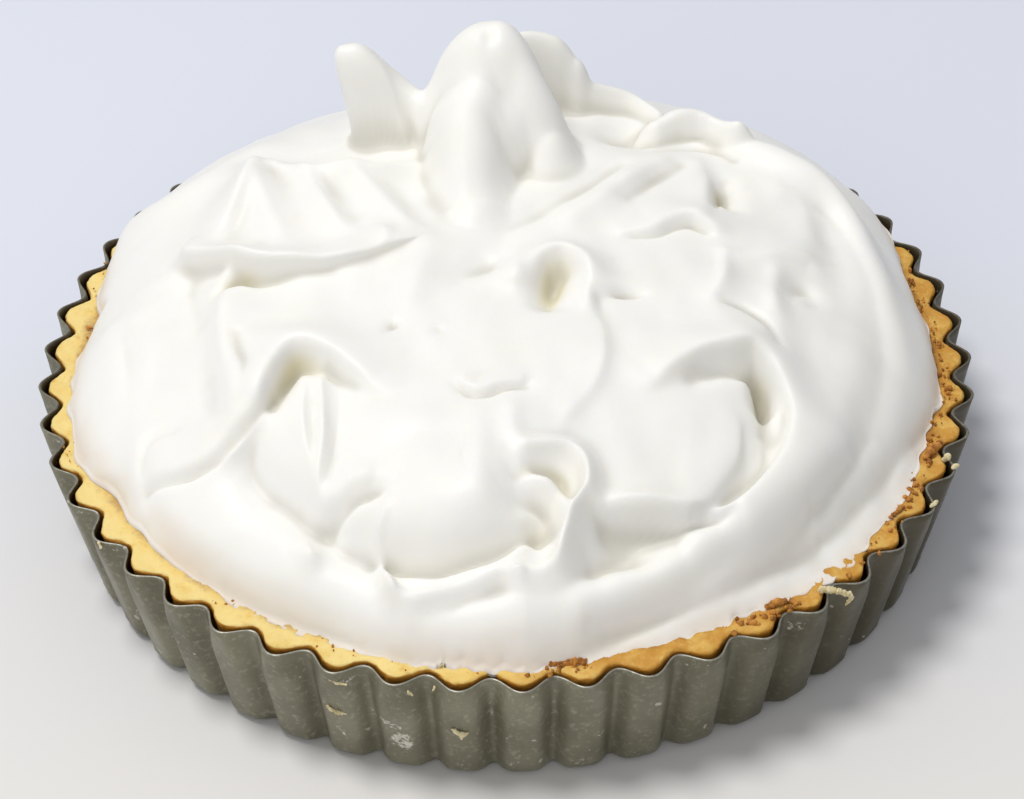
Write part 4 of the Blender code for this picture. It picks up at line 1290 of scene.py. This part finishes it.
@dataclass(frozen=True)
class CrustCrumbs:
    """Browned crumbs where the meringue meets the crust, mostly on the right."""

    form: MeringueForm
    seed: int = 11
    # angle round the pie, spread in degrees, distance outside the meringue's edge, how many, largest size
    clusters: tuple = (
        (276.0, 2.2, 0.6, 26, 0.9),
        (300.5, 2.2, 2.0, 26, 1.1),
        (305.8, 0.9, 1.0, 10, 1.3),
        (322.0, 4.0, 1.5, 30, 0.8),
        (332.0, 3.0, 1.0, 26, 0.9),
        (339.8, 1.4, 1.6, 16, 1.3),
        (350.0, 5.0, 1.5, 36, 0.8),
        (3.0, 5.0, 1.5, 34, 0.8),
        (13.0, 4.0, 1.0, 24, 0.8),
        (264.0, 6.0, 0.5, 12, 0.45),
        (247.0, 3.0, 0.4, 10, 0.5),
        (233.0, 2.0, 0.3, 8, 0.5),
        (197.0, 1.2, 1.0, 7, 0.6),
        (172.0, 2.0, 1.5, 9, 0.6),
        (160.0, 5.0, 1.0, 10, 0.5),
    )
    height: float = 34.9

    def points(self) -> list[tuple[float, float, float, float]]:
        """One row of x, y, z and size for each crumb, in millimetres."""
        draw = np.random.default_rng(self.seed)
        rows = []
        for middle, spread, outside, count, largest in self.clusters:
            for angle in draw.normal(middle, spread, count):
                edge = float(self.form.outline(np.array([math.radians(angle) % math.tau]))[0])
                radius = min(edge + outside + draw.normal(0.0, 0.9), self.form.reach + 2.0)
                size = largest * draw.uniform(0.25, 1.0) ** 1.6
                rows.append((*polar(angle, radius, self.height + draw.uniform(-0.1, 0.4)), size))
        return rows


def browned_lumps() -> list[tuple[float, float, float, float]]:
    """The larger browned lumps of crust along the meringue's edge."""
    rows = []
    rows += chain([(273.6, 107.2, 35.3, 0.5), (274.8, 107.4, 35.5, 0.9), (276.2, 107.6, 35.5, 0.8),
                   (277.6, 107.5, 35.6, 1.0), (279.0, 107.2, 35.3, 0.6)], 0.45)
    rows += chain([(303.0, 107.0, 35.4, 0.8), (304.2, 107.6, 36.0, 1.2), (305.2, 108.0, 35.6, 0.9)], 0.5)
    rows += chain([(338.4, 107.2, 35.4, 1.0), (340.0, 108.4, 35.8, 1.4), (341.6, 109.2, 35.4, 1.0)], 0.5)
    rows += chain([(326.0, 107.6, 35.2, 0.6), (328.4, 108.4, 35.3, 0.8)], 0.5)
    return rows


def dough_points() -> list[tuple[float, float, float, float]]:
    """Dried flecks of raw dough on the tin's wall and over its rim."""
    rows = []
    # the crescent and the small arc above it
    rows += chain([(248.2, 112.2, 20.6, 0.35), (248.6, 112.0, 19.6, 0.6), (249.4, 111.8, 18.9, 0.7),
                   (250.4, 111.4, 18.8, 0.4)], 0.6)
    rows += chain([(249.2, 114.2, 31.6, 0.3), (250.0, 114.2, 31.0, 0.4), (251.2, 114.2, 31.2, 0.35)], 0.7)
    # the three-cornered fleck on the next flute but one
    rows += chain([(263.2, 112.0, 19.4, 0.45), (263.7, 111.9, 18.4, 0.8), (264.3, 111.7, 17.8, 0.85)], 0.5)
    rows += chain([(264.3, 111.7, 17.8, 0.8), (264.9, 111.5, 18.2, 0.4)], 0.6)
    rows += chain([(264.2, 111.6, 17.6, 0.7), (264.1, 111.4, 16.2, 0.35)], 0.6)
    # specks close under the rim
    rows += chain([(258.4, 114.0, 32.2, 0.35), (258.9, 113.8, 31.2, 0.3)], 0.7)
    rows += chain([(261.2, 111.4, 32.0, 0.3), (261.0, 111.2, 30.6, 0.3)], 0.8)
    rows += chain([(213.8, 114.6, 34.6, 0.5), (214.3, 114.8, 34.0, 0.4)], 0.6)
    # the hooked piece over the rim on the right, and bits between crust and tin beyond it
    rows += chain([(309.6, 110.6, 36.0, 0.8), (310.4, 112.2, 36.3, 1.0), (311.2, 114.0, 35.9, 0.9),
                   (312.2, 115.3, 34.6, 0.8), (312.6, 115.2, 32.8, 0.6), (312.0, 114.6, 31.2, 0.4)], 0.55)
    rows += chain([(338.9, 111.4, 35.0, 0.7), (339.6, 112.0, 35.2, 0.9)], 0.6)
    rows += chain([(337.9, 114.0, 34.8, 0.6), (338.4, 114.6, 35.0, 0.8)], 0.6)
    rows += chain([(330.4, 113.9, 34.8, 0.6), (331.2, 114.4, 34.9, 0.7)], 0.6)
    return rows
# ----------------------------------------------------------------------- studio


@dataclass(frozen=True)
class PaleFloor:
    """A plain matt pale surface, bluer towards the back and warmer towards the front."""

    tone: tuple = rgba(227, 231, 243)
    near_tone: tuple = rgba(235, 232, 228)

    def build(self) -> bpy.types.Material:
        """Make the material."""
        material, graph, shader = new_material("pale_floor")
        place = graph.add("ShaderNodeTexCoord").outputs["Object"]
        along = graph.add("ShaderNodeSeparateXYZ", {0: place}).outputs["Y"]
        cloud = graph.math("MULTIPLY", graph.noise(place, 6.0, 3.0), 0.15)
        soft = graph.mix(graph.ramp(graph.math("ADD", along, cloud), 0.2, -0.1), self.tone, self.near_tone)
        graph.feed(shader.inputs["Base Color"], soft)
        shader.inputs["Roughness"].default_value = 0.9
        shader.inputs["Specular IOR Level"].default_value = 0.2
        return material


@dataclass(frozen=True)
class SoftBox:
    """One large soft light: where it hangs, its width, its power and its colour."""

    name: str
    place: tuple[float, float, float]
    width: float
    power: float
    colour: tuple[float, float, float] = (1.0, 1.0, 1.0)

    def build(self, target: Vector) -> None:
        """Hang the light, facing the target."""
        light = bpy.data.lights.new(self.name, "AREA")
        light.shape = "DISK"
        light.size = self.width
        light.energy = self.power
        light.color = self.colour
        lamp = bpy.data.objects.new(self.name, light)
        lamp.location = self.place
        lamp.rotation_euler = (Vector(self.place) - target).to_track_quat("Z", "Y").to_euler()
        bpy.context.collection.objects.link(lamp)


@dataclass
class Studio:
    """Floor, lights, world and camera."""

    floor_size: float = 60.0
    world: tuple = (0.815, 0.825, 0.845, 1.0)
    world_strength: float = 0.5
    target: tuple[float, float, float] = (0.0, 0.0, 0.0345)
    elevation: float = 39.604
    distance: float = 0.82519
    lens: float = 117.4
    sensor: float = 36.0
    turns: tuple[float, float, float] = (-0.655, -0.099, -0.977)
    lights: tuple[SoftBox, ...] = (
        SoftBox("key_light", (-0.52, -0.05, 1.66), 0.6, 17.0, (1.0, 0.985, 0.96)),
        SoftBox("front_fill", (-0.6, -1.8, 0.9), 1.2, 4.0, (1.0, 0.99, 0.97)),
    )

    def lay_floor(self) -> None:
        """Lay a floor large enough for any view."""
        half = 0.5 * self.floor_size / MM
        corners = np.array([(-half, -half, 0.0), (half, -half, 0.0), (half, half, 0.0), (-half, half, 0.0)])
        floor = mesh_piece("floor", corners, np.array([[0, 1, 2, 3]]), PaleFloor().build())

    def light_scene(self) -> None:
        """Fill the world and hang the lights."""
        world = bpy.data.worlds.new("pale_room")
        world.use_nodes = True
        background = world.node_tree.nodes["Background"]
        background.inputs["Color"].default_value = self.world
        background.inputs["Strength"].default_value = self.world_strength
        bpy.context.scene.world = world
        for light in self.lights:
            light.build(Vector(self.target))
        bpy.context.scene.view_settings.view_transform = "Standard"

    def set_camera(self) -> None:
        """Set the camera with its small turns off the line to the target."""
        camera = bpy.data.cameras.new("camera")
        camera.lens = self.lens
        camera.sensor_width = self.sensor
        camera.clip_start = 0.01
        camera.clip_end = 100.0
        eye = bpy.data.objects.new("camera", camera)
        rise = math.radians(self.elevation)
        back = Vector((0.0, -math.cos(rise), math.sin(rise))) * self.distance
        turn = Matrix.Rotation(0.5 * math.pi - rise, 4, "X")
        tilt, swing, roll = (math.radians(angle) for angle in self.turns)
        turn = turn @ Matrix.Rotation(swing, 4, "Y") @ Matrix.Rotation(tilt, 4, "X")
        turn = turn @ Matrix.Rotation(roll, 4, "Z")
        eye.matrix_world = Matrix.Translation(Vector(self.target) + back) @ turn
        bpy.context.collection.objects.link(eye)
        bpy.context.scene.camera = eye

    def build(self) -> None:
        """Build the whole studio."""
        self.lay_floor()
        self.light_scene()
        self.set_camera()


# ------------------------------------------------------------------------- main


def main() -> None:
    """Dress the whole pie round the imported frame."""
    logging.basicConfig(level=logging.INFO, format="%(message)s")
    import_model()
    form = MeringueForm(strokes=PEAKS + SWIRLS)
    TartTin().build()
    PastryCrust().build()
    Meringue(form).build()
    brown = CrumbFinish("browned_crumbs", rgba(206, 142, 60), rgba(138, 84, 28))
    Crumbs("browned_crumbs", brown, "pastry", 5).build(CrustCrumbs(form).points() + browned_lumps())
    dough = CrumbFinish("dried_dough", rgba(233, 222, 184), rgba(205, 188, 140))
    Crumbs("dough_flecks", dough, "pastry", 9).build(dough_points())
    Studio().build()


if __name__ == "__main__":
    main()
